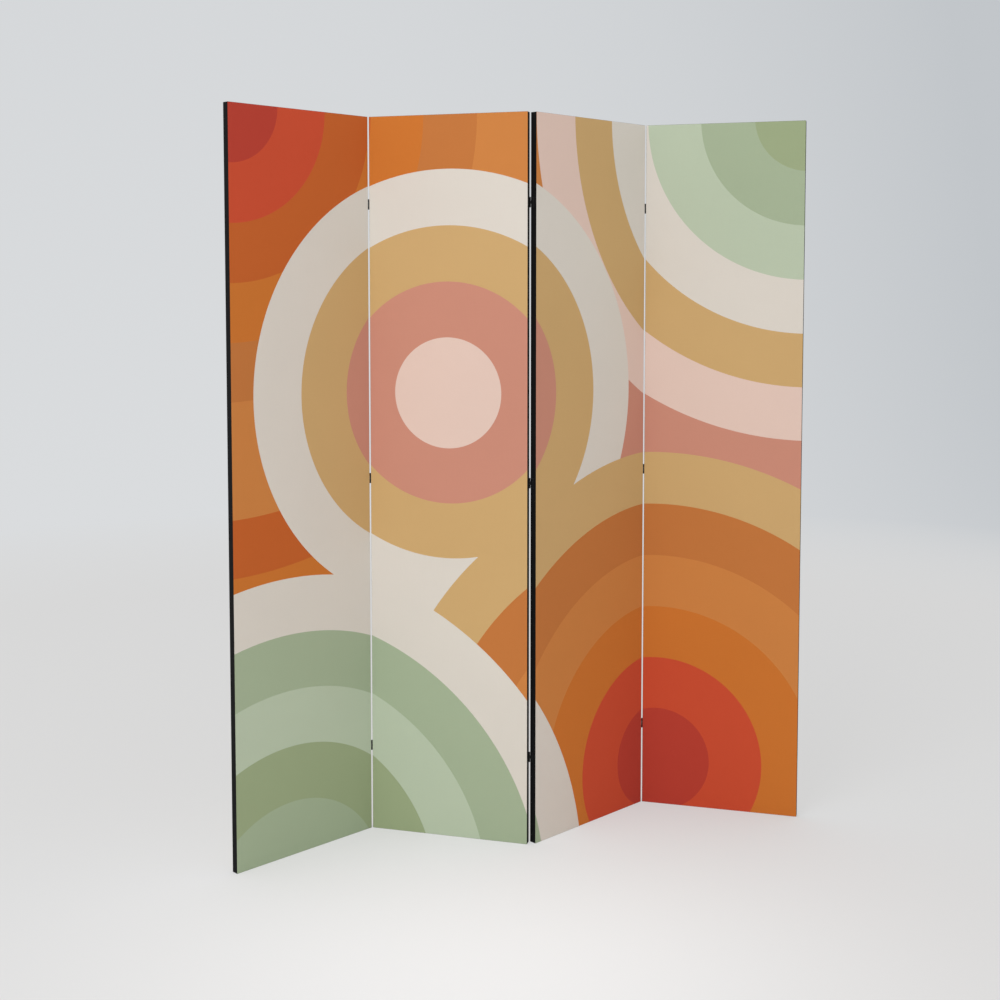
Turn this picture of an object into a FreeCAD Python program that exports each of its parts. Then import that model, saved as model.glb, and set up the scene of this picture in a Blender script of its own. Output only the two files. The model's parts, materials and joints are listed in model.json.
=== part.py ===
import FreeCAD, Part
import Sketcher
import math
import os

# A folding screen of four equal panels, in millimetres. X runs along the screen, Y points from the printed
# front to the back, Z is up. The origin is on the floor, in the middle of the screen's own box.
# Every panel has a frame of its own: x from its left edge, y from its printed face, z from its foot.

doc = FreeCAD.newDocument("room_divider")
sheet = doc.addObject("Spreadsheet::Sheet", "Sizes")

# Driving sizes, in millimetres unless the remark says otherwise
SIZES = [
    ("panel_height", 1770, "height of every panel, canvas included"),
    ("panel_width", 400, "width of every panel, canvas included"),
    ("panel_turn", 30, "degrees that a standing panel is turned from the line of the screen"),
    ("bar_width", 35, "face width of the stiles and of the top and bottom rails"),
    ("bar_depth", 17.5, "depth of the pine bars, from front to back"),
    ("cross_rail_width", 30, "face width of the two cross rails"),
    ("lip_width", 6, "outer strip of a bar that the canvas bears on"),
    ("lip_relief", 2, "fall of a bar's front from its lip to its inner edge"),
    ("arris", 1.5, "chamfer along the inner back edge of a bar"),
    ("tenon_length", 12, "reach of a rail into its stile"),
    ("tenon_thickness", 6, "thickness of a tenon, from front to back"),
    ("tenon_height", 18, "height of a tenon"),
    ("tenon_clearance", 0.1, "glue line round a tenon"),
    ("mortise_end_gap", 1, "room past the end of a tenon"),
    ("canvas_thickness", 0.5, "thickness of the printed canvas"),
    ("canvas_bend", 0.35, "how far the canvas cuts its corner where it turns round the frame"),
    ("flap_width", 25, "width of the canvas turned over the back of the frame"),
    ("hinge_height", 25, "length of a hinge along its pin"),
    ("hinge_inset", 212, "from the end of a panel to the middle of its outer hinge"),
    ("leaf_width", 12, "from the pin's centre to the free edge of a leaf"),
    ("leaf_thickness", 0.7, "thickness of the hinge plate"),
    ("pin_radius", 0.7, "radius of a hinge pin"),
    ("pin_clearance", 0.05, "radial play of the middle knuckle on its pin"),
    ("pin_proud", 0.4, "from the panel's face to the pin's centre, outside the panel"),
    ("knuckle_gap", 0.2, "end play between neighbouring knuckles"),
    ("notch_gap", 0.15, "room between a knuckle and the edge of the other leaf"),
    ("curl_turn", 290, "degrees that the plate is rolled round its pin"),
    ("screw_radius", 1, "radius of a hinge screw under its head"),
    ("screw_tip_radius", 0.4, "radius of the blunt end of a hinge screw"),
    ("screw_length", 10, "reach of a hinge screw past its leaf"),
    ("screw_inset", 5.5, "from the end of a leaf to its nearer screw"),
    ("screw_depth", 7, "from the pin's centre to the line of the screws"),
    ("awl_clearance", 0.1, "room round a screw in the pierced canvas"),
    ("cut_overrun", 1, "how far a cutting shape runs past the piece that it cuts"),
]
for row, (alias, size, remark) in enumerate(SIZES, start=1):
    sheet.set(f"A{row}", alias)
    sheet.set(f"B{row}", str(size))
    sheet.set(f"C{row}", remark)
    sheet.setAlias(f"B{row}", alias)
doc.recompute()

RAILS_IN_A_PANEL = 4
KNUCKLES_IN_A_HINGE = 3
SCREW_SIDES = 6
PIN_SIDES = 10
BELOW_AND_ABOVE = (-1, 1)
HINGES_ON_A_FOLD = {"bottom": -1, "middle": 0, "top": 1}

# Expressions on the sheet: driving sizes that are used often, and sizes that follow from them
HEIGHT = "Sizes.panel_height"
WIDTH = "Sizes.panel_width"
WRAP = "Sizes.canvas_thickness"
DEPTH = "Sizes.bar_depth"
BAR = "Sizes.bar_width"
CROSS_RAIL = "Sizes.cross_rail_width"
ARRIS = "Sizes.arris"
PLAY = "Sizes.tenon_clearance"
OVERRUN = "Sizes.cut_overrun"
SCREW = "Sizes.screw_radius"
SCREW_TIP = "Sizes.screw_tip_radius"
SHANK = "Sizes.screw_length"
FRAME_HEIGHT = f"({HEIGHT} - 2 * {WRAP})"
PANEL_DEPTH = f"({DEPTH} + 2 * {WRAP})"
RAIL_SPAN = f"({WIDTH} - 2 * {WRAP} - 2 * {BAR})"
RAIL_PITCH = f"(({FRAME_HEIGHT} - {BAR}) / {RAILS_IN_A_PANEL - 1})"
TENON_FRONT = f"(({DEPTH} - Sizes.tenon_thickness) / 2)"
HINGE_PITCH = f"({HEIGHT} / 2 - Sizes.hinge_inset)"
KNUCKLE_PITCH = f"(Sizes.hinge_height / {KNUCKLES_IN_A_HINGE})"
SCREW_SPACING = "(Sizes.hinge_height - 2 * Sizes.screw_inset)"
TIGHT_BORE = "Sizes.pin_radius"
LOOSE_BORE = "(Sizes.pin_radius + Sizes.pin_clearance)"
TIGHT_RADIUS = f"({TIGHT_BORE} + Sizes.leaf_thickness)"
LOOSE_RADIUS = f"({LOOSE_BORE} + Sizes.leaf_thickness)"
NOTCH_DEPTH = f"({LOOSE_RADIUS} + Sizes.notch_gap)"
SCREW_HEAD = f"({SCREW} + Sizes.leaf_thickness)"
FRONT_PIN = "(-Sizes.pin_proud)"
BACK_PIN = f"({PANEL_DEPTH} + Sizes.pin_proud)"
FRONT_SCREWS = f"({FRONT_PIN} + Sizes.screw_depth)"
BACK_SCREWS = f"({BACK_PIN} - Sizes.screw_depth)"

X_AXIS = FreeCAD.Vector(1, 0, 0)
Y_AXIS = FreeCAD.Vector(0, 1, 0)
Z_AXIS = FreeCAD.Vector(0, 0, 1)
UNTURNED = FreeCAD.Rotation()
HALF_TURN = 180
QUARTER_TURN = 90


def number(expression):
    """What an expression on the sheet comes to."""
    return float(sheet.evalExpression(expression))


def bind(thing, **expressions):
    """Ties an object's properties to expressions on the sheet."""
    for name, expression in expressions.items():
        thing.setExpression(name, expression)


# Bodies, sketches and features


def new_body(label):
    body = doc.addObject("PartDesign::Body", label)
    body.Label = label
    return body


def origin_part(body, role):
    """The body's own plane or axis of that role, such as XY_Plane or Z_Axis."""
    return next(part for part in body.Origin.OriginFeatures if part.Role == role)


def new_sketch(body, name, plane, offset="0"):
    """A sketch on one of the body's own planes, moved by offset along the plane's normal."""
    sketch = body.newObject("Sketcher::SketchObject", name)
    sketch.AttachmentSupport = [(origin_part(body, plane), "")]
    sketch.MapMode = "FlatFace"
    sketch.setExpression("AttachmentOffset.Base.z", offset)
    return sketch


def hold(sketch, constraint, expression=None):
    """Adds a constraint, driven by an expression where it has one."""
    index = sketch.addConstraint(constraint)
    if expression:
        sketch.setExpression(f"Constraints[{index}]", expression)


def hold_point(sketch, line, end, across, up):
    """Holds an end of a line at its distances from the sketch's origin."""
    for kind, expression in (("DistanceX", across), ("DistanceY", up)):
        start = number(expression)
        hold(sketch, Sketcher.Constraint(kind, -1, 1, line, end, start), expression)


def draw_outline(sketch, corners):
    """A closed outline of straight lines. Each corner is a pair of expressions, across and up."""
    first = sketch.GeometryCount
    points = [FreeCAD.Vector(number(across), number(up), 0) for across, up in corners]
    for start, end in zip(points, points[1:] + points[:1]):
        sketch.addGeometry(Part.LineSegment(start, end), False)
    for corner, (across, up) in enumerate(corners):
        line = first + corner
        following = first + (corner + 1) % len(corners)
        hold(sketch, Sketcher.Constraint("Coincident", line, 2, following, 1))
        hold_point(sketch, line, 1, across, up)


def draw_rectangle(sketch, left, low, right, high):
    draw_outline(sketch, [(left, low), (right, low), (right, high), (left, high)])


def pad(body, sketch, length, reverse=False):
    feature = body.newObject("PartDesign::Pad", "Pad")
    feature.Profile = sketch
    feature.Reversed = reverse
    bind(feature, Length=length)
    return feature


def pocket(body, sketch, length, reverse=False, both_sides=False):
    feature = body.newObject("PartDesign::Pocket", "Pocket")
    feature.Profile = sketch
    feature.Reversed = reverse
    feature.SideType = "Symmetric" if both_sides else "One side"
    bind(feature, Length=length)
    return feature


def repeat_up(body, features, length, count):
    """Repeats features up the body, evenly over a length."""
    pattern = body.newObject("PartDesign::LinearPattern", "Pattern")
    pattern.Originals = features
    pattern.Direction = (origin_part(body, "Z_Axis"), [""])
    pattern.Occurrences = count
    bind(pattern, Length=length)
    body.Tip = pattern


def taper_hole(body, across, up, ends):
    """A hole along the body's X axis with as many sides as a screw.

    ends holds, for its start and its end, the place along X and the radius.
    """
    rings = []
    for place, radius in ends:
        ring = new_sketch(body, "Ring", "YZ_Plane", place)
        turns = [f"{side} * 360 deg / {SCREW_SIDES}" for side in range(SCREW_SIDES)]
        draw_outline(ring, [
            (f"{across} - sin({turn}) * {radius}", f"{up} + cos({turn}) * {radius}") for turn in turns
        ])
        rings.append(ring)
    hole = body.newObject("PartDesign::SubtractiveLoft", "TaperHole")
    hole.Profile = rings[0]
    hole.Sections = rings[1:]
    hole.Ruled = True
    return hole


# Pine frame


def make_stile(label, screw_line=None):
    """A left stile: x from its outer edge, y from its front, z from its foot. Turned over, it is a right one.

    screw_line is the depth of the hinge screws in the panel, on a stile that carries hinges.
    """
    body = new_body(label)
    section = new_sketch(body, "Section", "XY_Plane")
    draw_outline(section, [
        ("0", "0"),
        ("Sizes.lip_width", "0"),
        (BAR, "Sizes.lip_relief"),
        (BAR, f"{DEPTH} - {ARRIS}"),
        (f"{BAR} - {ARRIS}", DEPTH),
        ("0", DEPTH),
    ])
    pad(body, section, FRAME_HEIGHT)
    mortise = new_sketch(body, "Mortise", "YZ_Plane", BAR)
    draw_rectangle(
        mortise,
        f"{TENON_FRONT} - {PLAY}",
        f"({BAR} - Sizes.tenon_height) / 2 - {PLAY}",
        f"{TENON_FRONT} + Sizes.tenon_thickness + {PLAY}",
        f"({BAR} + Sizes.tenon_height) / 2 + {PLAY}",
    )
    cut = pocket(body, mortise, "Sizes.tenon_length + Sizes.mortise_end_gap")
    repeat_up(body, [cut], f"{FRAME_HEIGHT} - {BAR}", RAILS_IN_A_PANEL)
    if screw_line:
        for side in BELOW_AND_ABOVE:
            up = f"Sizes.hinge_inset - {WRAP} + {side} * {SCREW_SPACING} / 2"
            across = f"{screw_line} - {WRAP}"
            hole = taper_hole(body, across, up, [(f"-{WRAP}", SCREW), (f"{SHANK} - {WRAP}", SCREW_TIP)])
            repeat_up(body, [hole], f"2 * {HINGE_PITCH}", len(HINGES_ON_A_FOLD))
    return body


def make_rail(label, width, section_corners):
    """A rail: x from its left shoulder, y from the front of the frame, z from its lower edge."""
    body = new_body(label)
    section = new_sketch(body, "Section", "YZ_Plane")
    draw_outline(section, section_corners)
    pad(body, section, RAIL_SPAN)
    tenons = new_sketch(body, "Tenons", "YZ_Plane", "-Sizes.tenon_length")
    draw_rectangle(
        tenons,
        TENON_FRONT,
        f"({width} - Sizes.tenon_height) / 2",
        f"{TENON_FRONT} + Sizes.tenon_thickness",
        f"({width} + Sizes.tenon_height) / 2",
    )
    pad(body, tenons, f"{RAIL_SPAN} + 2 * Sizes.tenon_length")
    return body


def make_end_rail(label):
    """A bottom rail, with its lip along the foot. Turned over, it is a top one."""
    return make_rail(label, BAR, [
        ("0", "0"),
        (DEPTH, "0"),
        (DEPTH, f"{BAR} - {ARRIS}"),
        (f"{DEPTH} - {ARRIS}", BAR),
        ("Sizes.lip_relief", BAR),
        ("0", "Sizes.lip_width"),
    ])


def make_cross_rail(label):
    """A cross rail, set back from the canvas."""
    return make_rail(label, CROSS_RAIL, [
        ("Sizes.lip_relief", "0"),
        (f"{DEPTH} - {ARRIS}", "0"),
        (DEPTH, ARRIS),
        (DEPTH, f"{CROSS_RAIL} - {ARRIS}"),
        (f"{DEPTH} - {ARRIS}", CROSS_RAIL),
        ("Sizes.lip_relief", CROSS_RAIL),
    ])


# Printed canvas, in two parts that meet all round the panel: the face, and what is turned over behind it


def edges_at(shape, depth):
    """Names of a block's edges that lie at one depth, from front to back."""
    names = []
    for index, edge in enumerate(shape.Edges, start=1):
        if all(abs(vertex.Y - depth) < edge.Tolerance for vertex in edge.Vertexes):
            names.append(f"Edge{index}")
    return names


def make_block(body, front, back, bent):
    """A block as tall and wide as the panel between two depths. The edges at the depth bent are eased."""
    outline = new_sketch(body, "Outline", "XZ_Plane", f"-{front}")
    draw_rectangle(outline, "0", "0", WIDTH, HEIGHT)
    block = pad(body, outline, f"{back} - {front}", reverse=True)
    doc.recompute()
    bend = body.newObject("PartDesign::Chamfer", "Bend")
    bend.Base = (block, edges_at(block.Shape, number(bent)))
    bind(bend, Size="Sizes.canvas_bend")


def pierce(body, plane_offset, screw_line, reverse):
    """Holes for the hinge screws in a side of the canvas, squared by the weave."""
    half = f"({SCREW} + Sizes.awl_clearance)"
    holes = new_sketch(body, "AwlHoles", "YZ_Plane", plane_offset)
    for side in BELOW_AND_ABOVE:
        up = f"(Sizes.hinge_inset + {side} * {SCREW_SPACING} / 2)"
        draw_rectangle(
            holes,
            f"{screw_line} - {half}",
            f"{up} - {half}",
            f"{screw_line} + {half}",
            f"{up} + {half}",
        )
    cut = pocket(body, holes, f"{WRAP} + {OVERRUN}", reverse)
    repeat_up(body, [cut], f"2 * {HINGE_PITCH}", len(HINGES_ON_A_FOLD))


def make_canvas(label):
    """The printed face of a canvas, eased where the cloth turns round the frame."""
    body = new_body(label)
    make_block(body, "0", WRAP, bent="0")
    return body


def make_turnover(label, left_screws, right_screws):
    """The rest of a canvas: its sides round the frame and the flaps on the frame's back."""
    body = new_body(label)
    make_block(body, WRAP, PANEL_DEPTH, bent=PANEL_DEPTH)
    hollow = new_sketch(body, "Hollow", "XZ_Plane", f"-{WRAP}")
    draw_rectangle(hollow, WRAP, WRAP, f"{WIDTH} - {WRAP}", f"{HEIGHT} - {WRAP}")
    pocket(body, hollow, DEPTH)
    opening = new_sketch(body, "BackOpening", "XZ_Plane", f"-({WRAP} + {DEPTH})")
    flap = "Sizes.flap_width"
    draw_rectangle(opening, flap, flap, f"{WIDTH} - {flap}", f"{HEIGHT} - {flap}")
    pocket(body, opening, f"{WRAP} + {OVERRUN}")
    if left_screws:
        pierce(body, "0", left_screws, reverse=True)
    if right_screws:
        pierce(body, WIDTH, right_screws, reverse=False)
    return body


# Butt hinges


def draw_rolled_plate(sketch, bore, radius):
    """The section of a leaf: a flat plate whose front edge is rolled round the pin, with a seam left open.

    The pin's centre is the origin, and the plate runs up at the radius across. The bore is many-sided.
    """
    facet = f"(Sizes.curl_turn * 1 deg / ({PIN_SIDES} - 1 / 2))"
    bore_corners = []
    for corner in reversed(range(PIN_SIDES)):
        turn = f"(-({corner} + 1 / 2) * {facet})"
        reach = f"{bore} / cos({facet} / 2)"
        bore_corners.append((f"{reach} * cos({turn})", f"{reach} * sin({turn})"))
    held = bore_corners + [(bore, "Sizes.leaf_width"), (radius, "Sizes.leaf_width")]
    points = [FreeCAD.Vector(number(across), number(up), 0) for across, up in held]
    seam = 2 * math.pi - math.radians(number("Sizes.curl_turn"))
    seam_corner = FreeCAD.Vector(math.cos(seam), math.sin(seam), 0) * number(radius)
    plate_corner = X_AXIS * number(radius)
    path = [seam_corner] + points + [plate_corner]
    for start, end in zip(path, path[1:]):
        sketch.addGeometry(Part.LineSegment(start, end), False)
    for line, (across, up) in enumerate(held, start=1):
        hold(sketch, Sketcher.Constraint("Coincident", line - 1, 2, line, 1))
        hold_point(sketch, line, 1, across, up)
    circle = Part.Circle(FreeCAD.Vector(), Z_AXIS, number(radius))
    roll = sketch.addGeometry(Part.ArcOfCircle(circle, seam, 2 * math.pi), False)
    hold(sketch, Sketcher.Constraint("Coincident", roll, 3, -1, 1))
    hold(sketch, Sketcher.Constraint("Radius", roll, number(radius)), radius)
    hold(sketch, Sketcher.Constraint("PointOnObject", roll, 2, -1))
    hold(sketch, Sketcher.Constraint("Coincident", roll, 2, len(held), 2))
    hold(sketch, Sketcher.Constraint("Coincident", roll, 1, 0, 1))
    hold(sketch, Sketcher.Constraint("PointOnObject", -1, 1, 0))


def make_leaf(label, bore, radius, middle_knuckle):
    """A hinge leaf in its pin's frame: x towards the panel that it is screwed to, y along that panel's side.

    One kind of leaf keeps the middle knuckle, the other the two outer ones.
    """
    body = new_body(label)
    section = new_sketch(body, "RolledPlate", "XY_Plane", "-Sizes.hinge_height / 2")
    draw_rolled_plate(section, bore, radius)
    pad(body, section, "Sizes.hinge_height")
    notches = new_sketch(body, "Notches", "YZ_Plane")
    front = f"-({LOOSE_RADIUS} + {OVERRUN})"
    if middle_knuckle:
        low = f"({KNUCKLE_PITCH} - Sizes.knuckle_gap) / 2"
        high = f"(Sizes.hinge_height / 2 + {OVERRUN})"
        draw_rectangle(notches, front, low, NOTCH_DEPTH, high)
        draw_rectangle(notches, front, f"-{high}", NOTCH_DEPTH, f"-{low}")
    else:
        half = f"({KNUCKLE_PITCH} + Sizes.knuckle_gap) / 2"
        draw_rectangle(notches, front, f"-{half}", NOTCH_DEPTH, half)
    pocket(body, notches, f"2 * ({LOOSE_RADIUS} + {OVERRUN})", both_sides=True)
    for side in BELOW_AND_ABOVE:
        up = f"{side} * {SCREW_SPACING} / 2"
        taper_hole(body, "Sizes.screw_depth", up, [(bore, SCREW_HEAD), (radius, SCREW)])
    return body


def make_screw(place):
    """A countersunk wood screw with a taper shank, pointing along X from the middle of its head."""
    rings = []
    along_x = FreeCAD.Rotation(Y_AXIS, QUARTER_TURN)
    for depth, radius in (
        ("0", SCREW_HEAD),
        ("Sizes.leaf_thickness", SCREW),
        (f"Sizes.leaf_thickness + {SHANK}", SCREW_TIP),
    ):
        ring = doc.addObject("Part::RegularPolygon", "ScrewRing")
        ring.Polygon = SCREW_SIDES
        bind(ring, Circumradius=radius)
        ring.Placement = place * FreeCAD.Placement(X_AXIS * number(depth), along_x)
        rings.append(ring)
    screw = doc.addObject("Part::Loft", "Screw")
    screw.Sections = rings
    screw.Solid = True
    screw.Ruled = True
    return screw


def make_group(label, pieces):
    """Like pieces that share a node."""
    group = doc.addObject("Part::Compound", label)
    group.Label = label
    group.Links = pieces
    return group


def make_screws(label, leaves):
    """The hinge screws of one panel, seated in their leaves.

    leaves holds, for each leaf, its placement and the bore that sets its plate's inner face.
    """
    screws = []
    for leaf, bore in leaves:
        for side in BELOW_AND_ABOVE:
            up = side * number(SCREW_SPACING) / 2
            seat = FreeCAD.Vector(number(bore), number("Sizes.screw_depth"), up)
            screws.append(make_screw(leaf * FreeCAD.Placement(seat, UNTURNED)))
    return make_group(label, screws)


def make_pins(label, places):
    """The pins of one fold, each as long as its hinge."""
    pins = []
    for place in places:
        pin = doc.addObject("Part::Prism", "Pin")
        pin.Polygon = PIN_SIDES
        bind(pin, Circumradius=TIGHT_BORE, Height="Sizes.hinge_height")
        pin.Placement = place
        pins.append(pin)
    return make_group(label, pins)


# Folds, from left to right: on which side of the panels the pins stand, and how deep the screws are.
# The outer folds have their pins at the printed face and close it, the middle one has them at the back.

FOLDS = [
    ("left_fold", FRONT_PIN, FRONT_SCREWS),
    ("middle_fold", BACK_PIN, BACK_SCREWS),
    ("right_fold", FRONT_PIN, FRONT_SCREWS),
]
PANELS = len(FOLDS) + 1


def panel_places():
    """Where each panel's frame stands, with neighbouring panels turned to and fro about their pins."""
    turn = number("Sizes.panel_turn")
    rotations = [FreeCAD.Rotation(Z_AXIS, turn if panel % 2 == 0 else -turn) for panel in range(PANELS)]
    places = [FreeCAD.Placement(FreeCAD.Vector(), rotations[0])]
    for (_, pin_depth, _), rotation in zip(FOLDS, rotations[1:]):
        depth = number(pin_depth)
        right_of_panel = FreeCAD.Vector(number(f"{WIDTH} + {TIGHT_RADIUS}"), depth, 0)
        left_of_next = FreeCAD.Vector(-number(LOOSE_RADIUS), depth, 0)
        pin = places[-1].multVec(right_of_panel)
        places.append(FreeCAD.Placement(pin - rotation.multVec(left_of_next), rotation))
    width, depth = number(WIDTH), number(PANEL_DEPTH)
    corners = [
        place.multVec(FreeCAD.Vector(x, y, 0)) for place in places for x in (0, width) for y in (0, depth)
    ]
    middle_x = (min(corner.x for corner in corners) + max(corner.x for corner in corners)) / 2
    middle_y = (min(corner.y for corner in corners) + max(corner.y for corner in corners)) / 2
    centring = FreeCAD.Placement(FreeCAD.Vector(-middle_x, -middle_y, 0), UNTURNED)
    return [centring * place for place in places]


def leaf_places(fold, on_left_panel):
    """The places of a fold's three leaves in the frame of the panel that carries them, from the bottom up.

    A leaf is the same when it is turned over, so a half turn about the right axis suits it to any corner.
    """
    _, pin_depth, _ = FOLDS[fold]
    at_front = pin_depth == FRONT_PIN
    if on_left_panel:
        across = number(f"{WIDTH} + {TIGHT_RADIUS}")
        rotation = FreeCAD.Rotation(Y_AXIS if at_front else Z_AXIS, HALF_TURN)
    else:
        across = -number(LOOSE_RADIUS)
        rotation = UNTURNED if at_front else FreeCAD.Rotation(X_AXIS, HALF_TURN)
    places = {}
    for name, step in HINGES_ON_A_FOLD.items():
        up = number(f"{HEIGHT} / 2 + {step} * {HINGE_PITCH}")
        places[name] = FreeCAD.Placement(FreeCAD.Vector(across, number(pin_depth), up), rotation)
    return places


def build_frame(panel, place, left_screws, right_screws):
    """The stiles and rails of one panel, set in their places."""
    wrap, bar = number(WRAP), number(BAR)
    width, height = number(WIDTH), number(HEIGHT)
    turned_over = FreeCAD.Rotation(Y_AXIS, HALF_TURN)
    left_stile = make_stile(f"{panel}_left_stile", left_screws)
    left_stile.Placement = place * FreeCAD.Placement(FreeCAD.Vector(wrap, wrap, wrap), UNTURNED)
    right_stile = make_stile(f"{panel}_right_stile", right_screws)
    top_right = FreeCAD.Vector(width - wrap, wrap, height - wrap)
    right_stile.Placement = place * FreeCAD.Placement(top_right, turned_over)
    bottom_rail = make_end_rail(f"{panel}_bottom_rail")
    bottom_rail.Placement = place * FreeCAD.Placement(FreeCAD.Vector(wrap + bar, wrap, wrap), UNTURNED)
    top_rail = make_end_rail(f"{panel}_top_rail")
    top_rail.Placement = place * FreeCAD.Placement(top_right - X_AXIS * bar, turned_over)
    pieces = [left_stile, right_stile, bottom_rail, top_rail]
    for step, name in enumerate(("lower", "upper"), start=1):
        rail = make_cross_rail(f"{panel}_{name}_cross_rail")
        up = wrap + number(f"{BAR} / 2 + {step} * {RAIL_PITCH} - {CROSS_RAIL} / 2")
        rail.Placement = place * FreeCAD.Placement(FreeCAD.Vector(wrap + bar, wrap, up), UNTURNED)
        pieces.append(rail)
    return pieces


def build_screen():
    """Every sub-part of the screen."""
    places = panel_places()
    leaves_of_panel = [[] for _ in places]
    pieces = []
    for index, place in enumerate(places):
        panel = f"panel_{index + 1}"
        left_screws = FOLDS[index - 1][2] if index > 0 else None
        right_screws = FOLDS[index][2] if index < len(FOLDS) else None
        pieces += build_frame(panel, place, left_screws, right_screws)
        canvas = make_canvas(f"{panel}_canvas")
        turnover = make_turnover(f"{panel}_canvas_turnover", left_screws, right_screws)
        for cloth in (canvas, turnover):
            cloth.Placement = place
            pieces.append(cloth)
    for index, (fold, _, _) in enumerate(FOLDS):
        left, right = leaf_places(index, True), leaf_places(index, False)
        for name in HINGES_ON_A_FOLD:
            left_leaf = make_leaf(f"{fold}_{name}_hinge_left_leaf", TIGHT_BORE, TIGHT_RADIUS, False)
            left_leaf.Placement = places[index] * left[name]
            leaves_of_panel[index].append((left_leaf.Placement, TIGHT_BORE))
            right_leaf = make_leaf(f"{fold}_{name}_hinge_right_leaf", LOOSE_BORE, LOOSE_RADIUS, True)
            right_leaf.Placement = places[index + 1] * right[name]
            leaves_of_panel[index + 1].append((right_leaf.Placement, LOOSE_BORE))
            pieces += [left_leaf, right_leaf]
        half_down = FreeCAD.Placement(Z_AXIS * (-number("Sizes.hinge_height") / 2), UNTURNED)
        pieces.append(make_pins(f"{fold}_hinge_pins", [
            half_down * FreeCAD.Placement((places[index] * spot).Base, UNTURNED) for spot in left.values()
        ]))
    for index, leaves in enumerate(leaves_of_panel):
        pieces.append(make_screws(f"panel_{index + 1}_hinge_screws", leaves))
    return pieces


def check(pieces):
    """Stops on a failed object, or a piece that isn't made of sound solids."""
    failed = [thing.Label for thing in doc.Objects if {"Invalid", "Error"} & set(thing.State)]
    if failed:
        raise RuntimeError(f"failed objects: {failed}")
    for piece in pieces:
        shape = piece.Shape
        if shape.isNull() or not shape.isValid() or not shape.Solids:
            raise RuntimeError(f"{piece.Label} has no sound solid")


def write(pieces):
    os.makedirs("parts", exist_ok=True)
    for piece in pieces:
        piece.Shape.exportStep(f"parts/{piece.Label}.step")


screen = build_screen()
doc.recompute()
check(screen)
write(screen)
for piece in screen:
    print(f"{piece.Label}: {len(piece.Shape.Solids)} solids, {piece.Shape.Volume:.2f} mm3")
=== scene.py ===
"""Looks of a folding room divider: printed canvases on pine frames, joined by small black butt hinges.

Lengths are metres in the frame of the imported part: X along the screen, Y from the printed front to the
back, Z up. Each panel also has a frame of its own: x from its left edge, y from its printed face, z from
its foot.
"""

import json
import logging
import math
import random
from collections.abc import Callable, Sequence
from dataclasses import dataclass, field
from enum import Enum

import bmesh
import bpy
from mathutils import Euler, Matrix, Vector


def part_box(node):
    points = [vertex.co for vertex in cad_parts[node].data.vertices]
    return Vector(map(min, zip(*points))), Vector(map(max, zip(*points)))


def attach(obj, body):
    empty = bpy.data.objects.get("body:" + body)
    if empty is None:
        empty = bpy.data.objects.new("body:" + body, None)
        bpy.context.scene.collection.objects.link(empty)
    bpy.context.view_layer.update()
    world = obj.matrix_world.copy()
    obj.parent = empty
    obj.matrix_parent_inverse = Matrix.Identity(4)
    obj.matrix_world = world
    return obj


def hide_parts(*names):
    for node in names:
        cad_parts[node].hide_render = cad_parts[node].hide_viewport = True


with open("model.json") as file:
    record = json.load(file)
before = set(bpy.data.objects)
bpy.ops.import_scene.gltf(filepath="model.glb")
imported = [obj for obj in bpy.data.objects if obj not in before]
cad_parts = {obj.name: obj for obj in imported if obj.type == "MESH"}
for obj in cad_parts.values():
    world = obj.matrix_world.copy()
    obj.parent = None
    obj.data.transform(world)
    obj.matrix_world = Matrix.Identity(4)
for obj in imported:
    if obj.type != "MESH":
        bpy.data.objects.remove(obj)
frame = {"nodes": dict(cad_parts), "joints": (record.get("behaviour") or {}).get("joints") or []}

log = logging.getLogger("room_divider")

MM = 0.001
QUARTER = math.pi / 2
PLAIN = Matrix.Identity(4)
BYTE = 255
SRGB_LIFT = 0.055
SRGB_POWER = 2.4
CLOTH_MAP = "cloth"
PAST_EDGE = "past_edge"
REVERSE = "reverse"
DRIVE = "drive"
OUTWARD = (0.0, 1.0, 0.0)

Triple = tuple[float, float, float]
Color = Triple
Pair = tuple[float, float]
Build = bmesh.types.BMesh
Line = list[bmesh.types.BMVert]
Material = bpy.types.Material
Mesh = bpy.types.Mesh
Node = bpy.types.Node
NodeTree = bpy.types.NodeTree
Socket = bpy.types.NodeSocket


def ink(red: int, green: int, blue: int) -> Color:
    """A colour as it is seen on screen, from 0 to 255, made linear for the shaders."""
    return tuple(((part / BYTE + SRGB_LIFT) / (1 + SRGB_LIFT)) ** SRGB_POWER for part in (red, green, blue))


class Side(Enum):
    """The side of a panel that a hinge is on, with the way its screws are driven along x."""

    LEFT = 1
    RIGHT = -1


class Bar(Enum):
    """The bars of a panel's frame: name in the part, whether it is upright, whether it is an outer one."""

    LEFT_STILE = ("left_stile", True, True)
    RIGHT_STILE = ("right_stile", True, True)
    BOTTOM_RAIL = ("bottom_rail", False, True)
    TOP_RAIL = ("top_rail", False, True)
    LOWER_CROSS_RAIL = ("lower_cross_rail", False, False)
    UPPER_CROSS_RAIL = ("upper_cross_rail", False, False)

    def __init__(self, node: str, upright: bool, outer: bool) -> None:
        """Names what each bar's value says."""
        self.node, self.upright, self.outer = node, upright, outer


class Kind(Enum):
    """What a node group works on."""

    SHADER = "ShaderNodeTree"
    GEOMETRY = "GeometryNodeTree"


# Helpers for node trees


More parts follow.
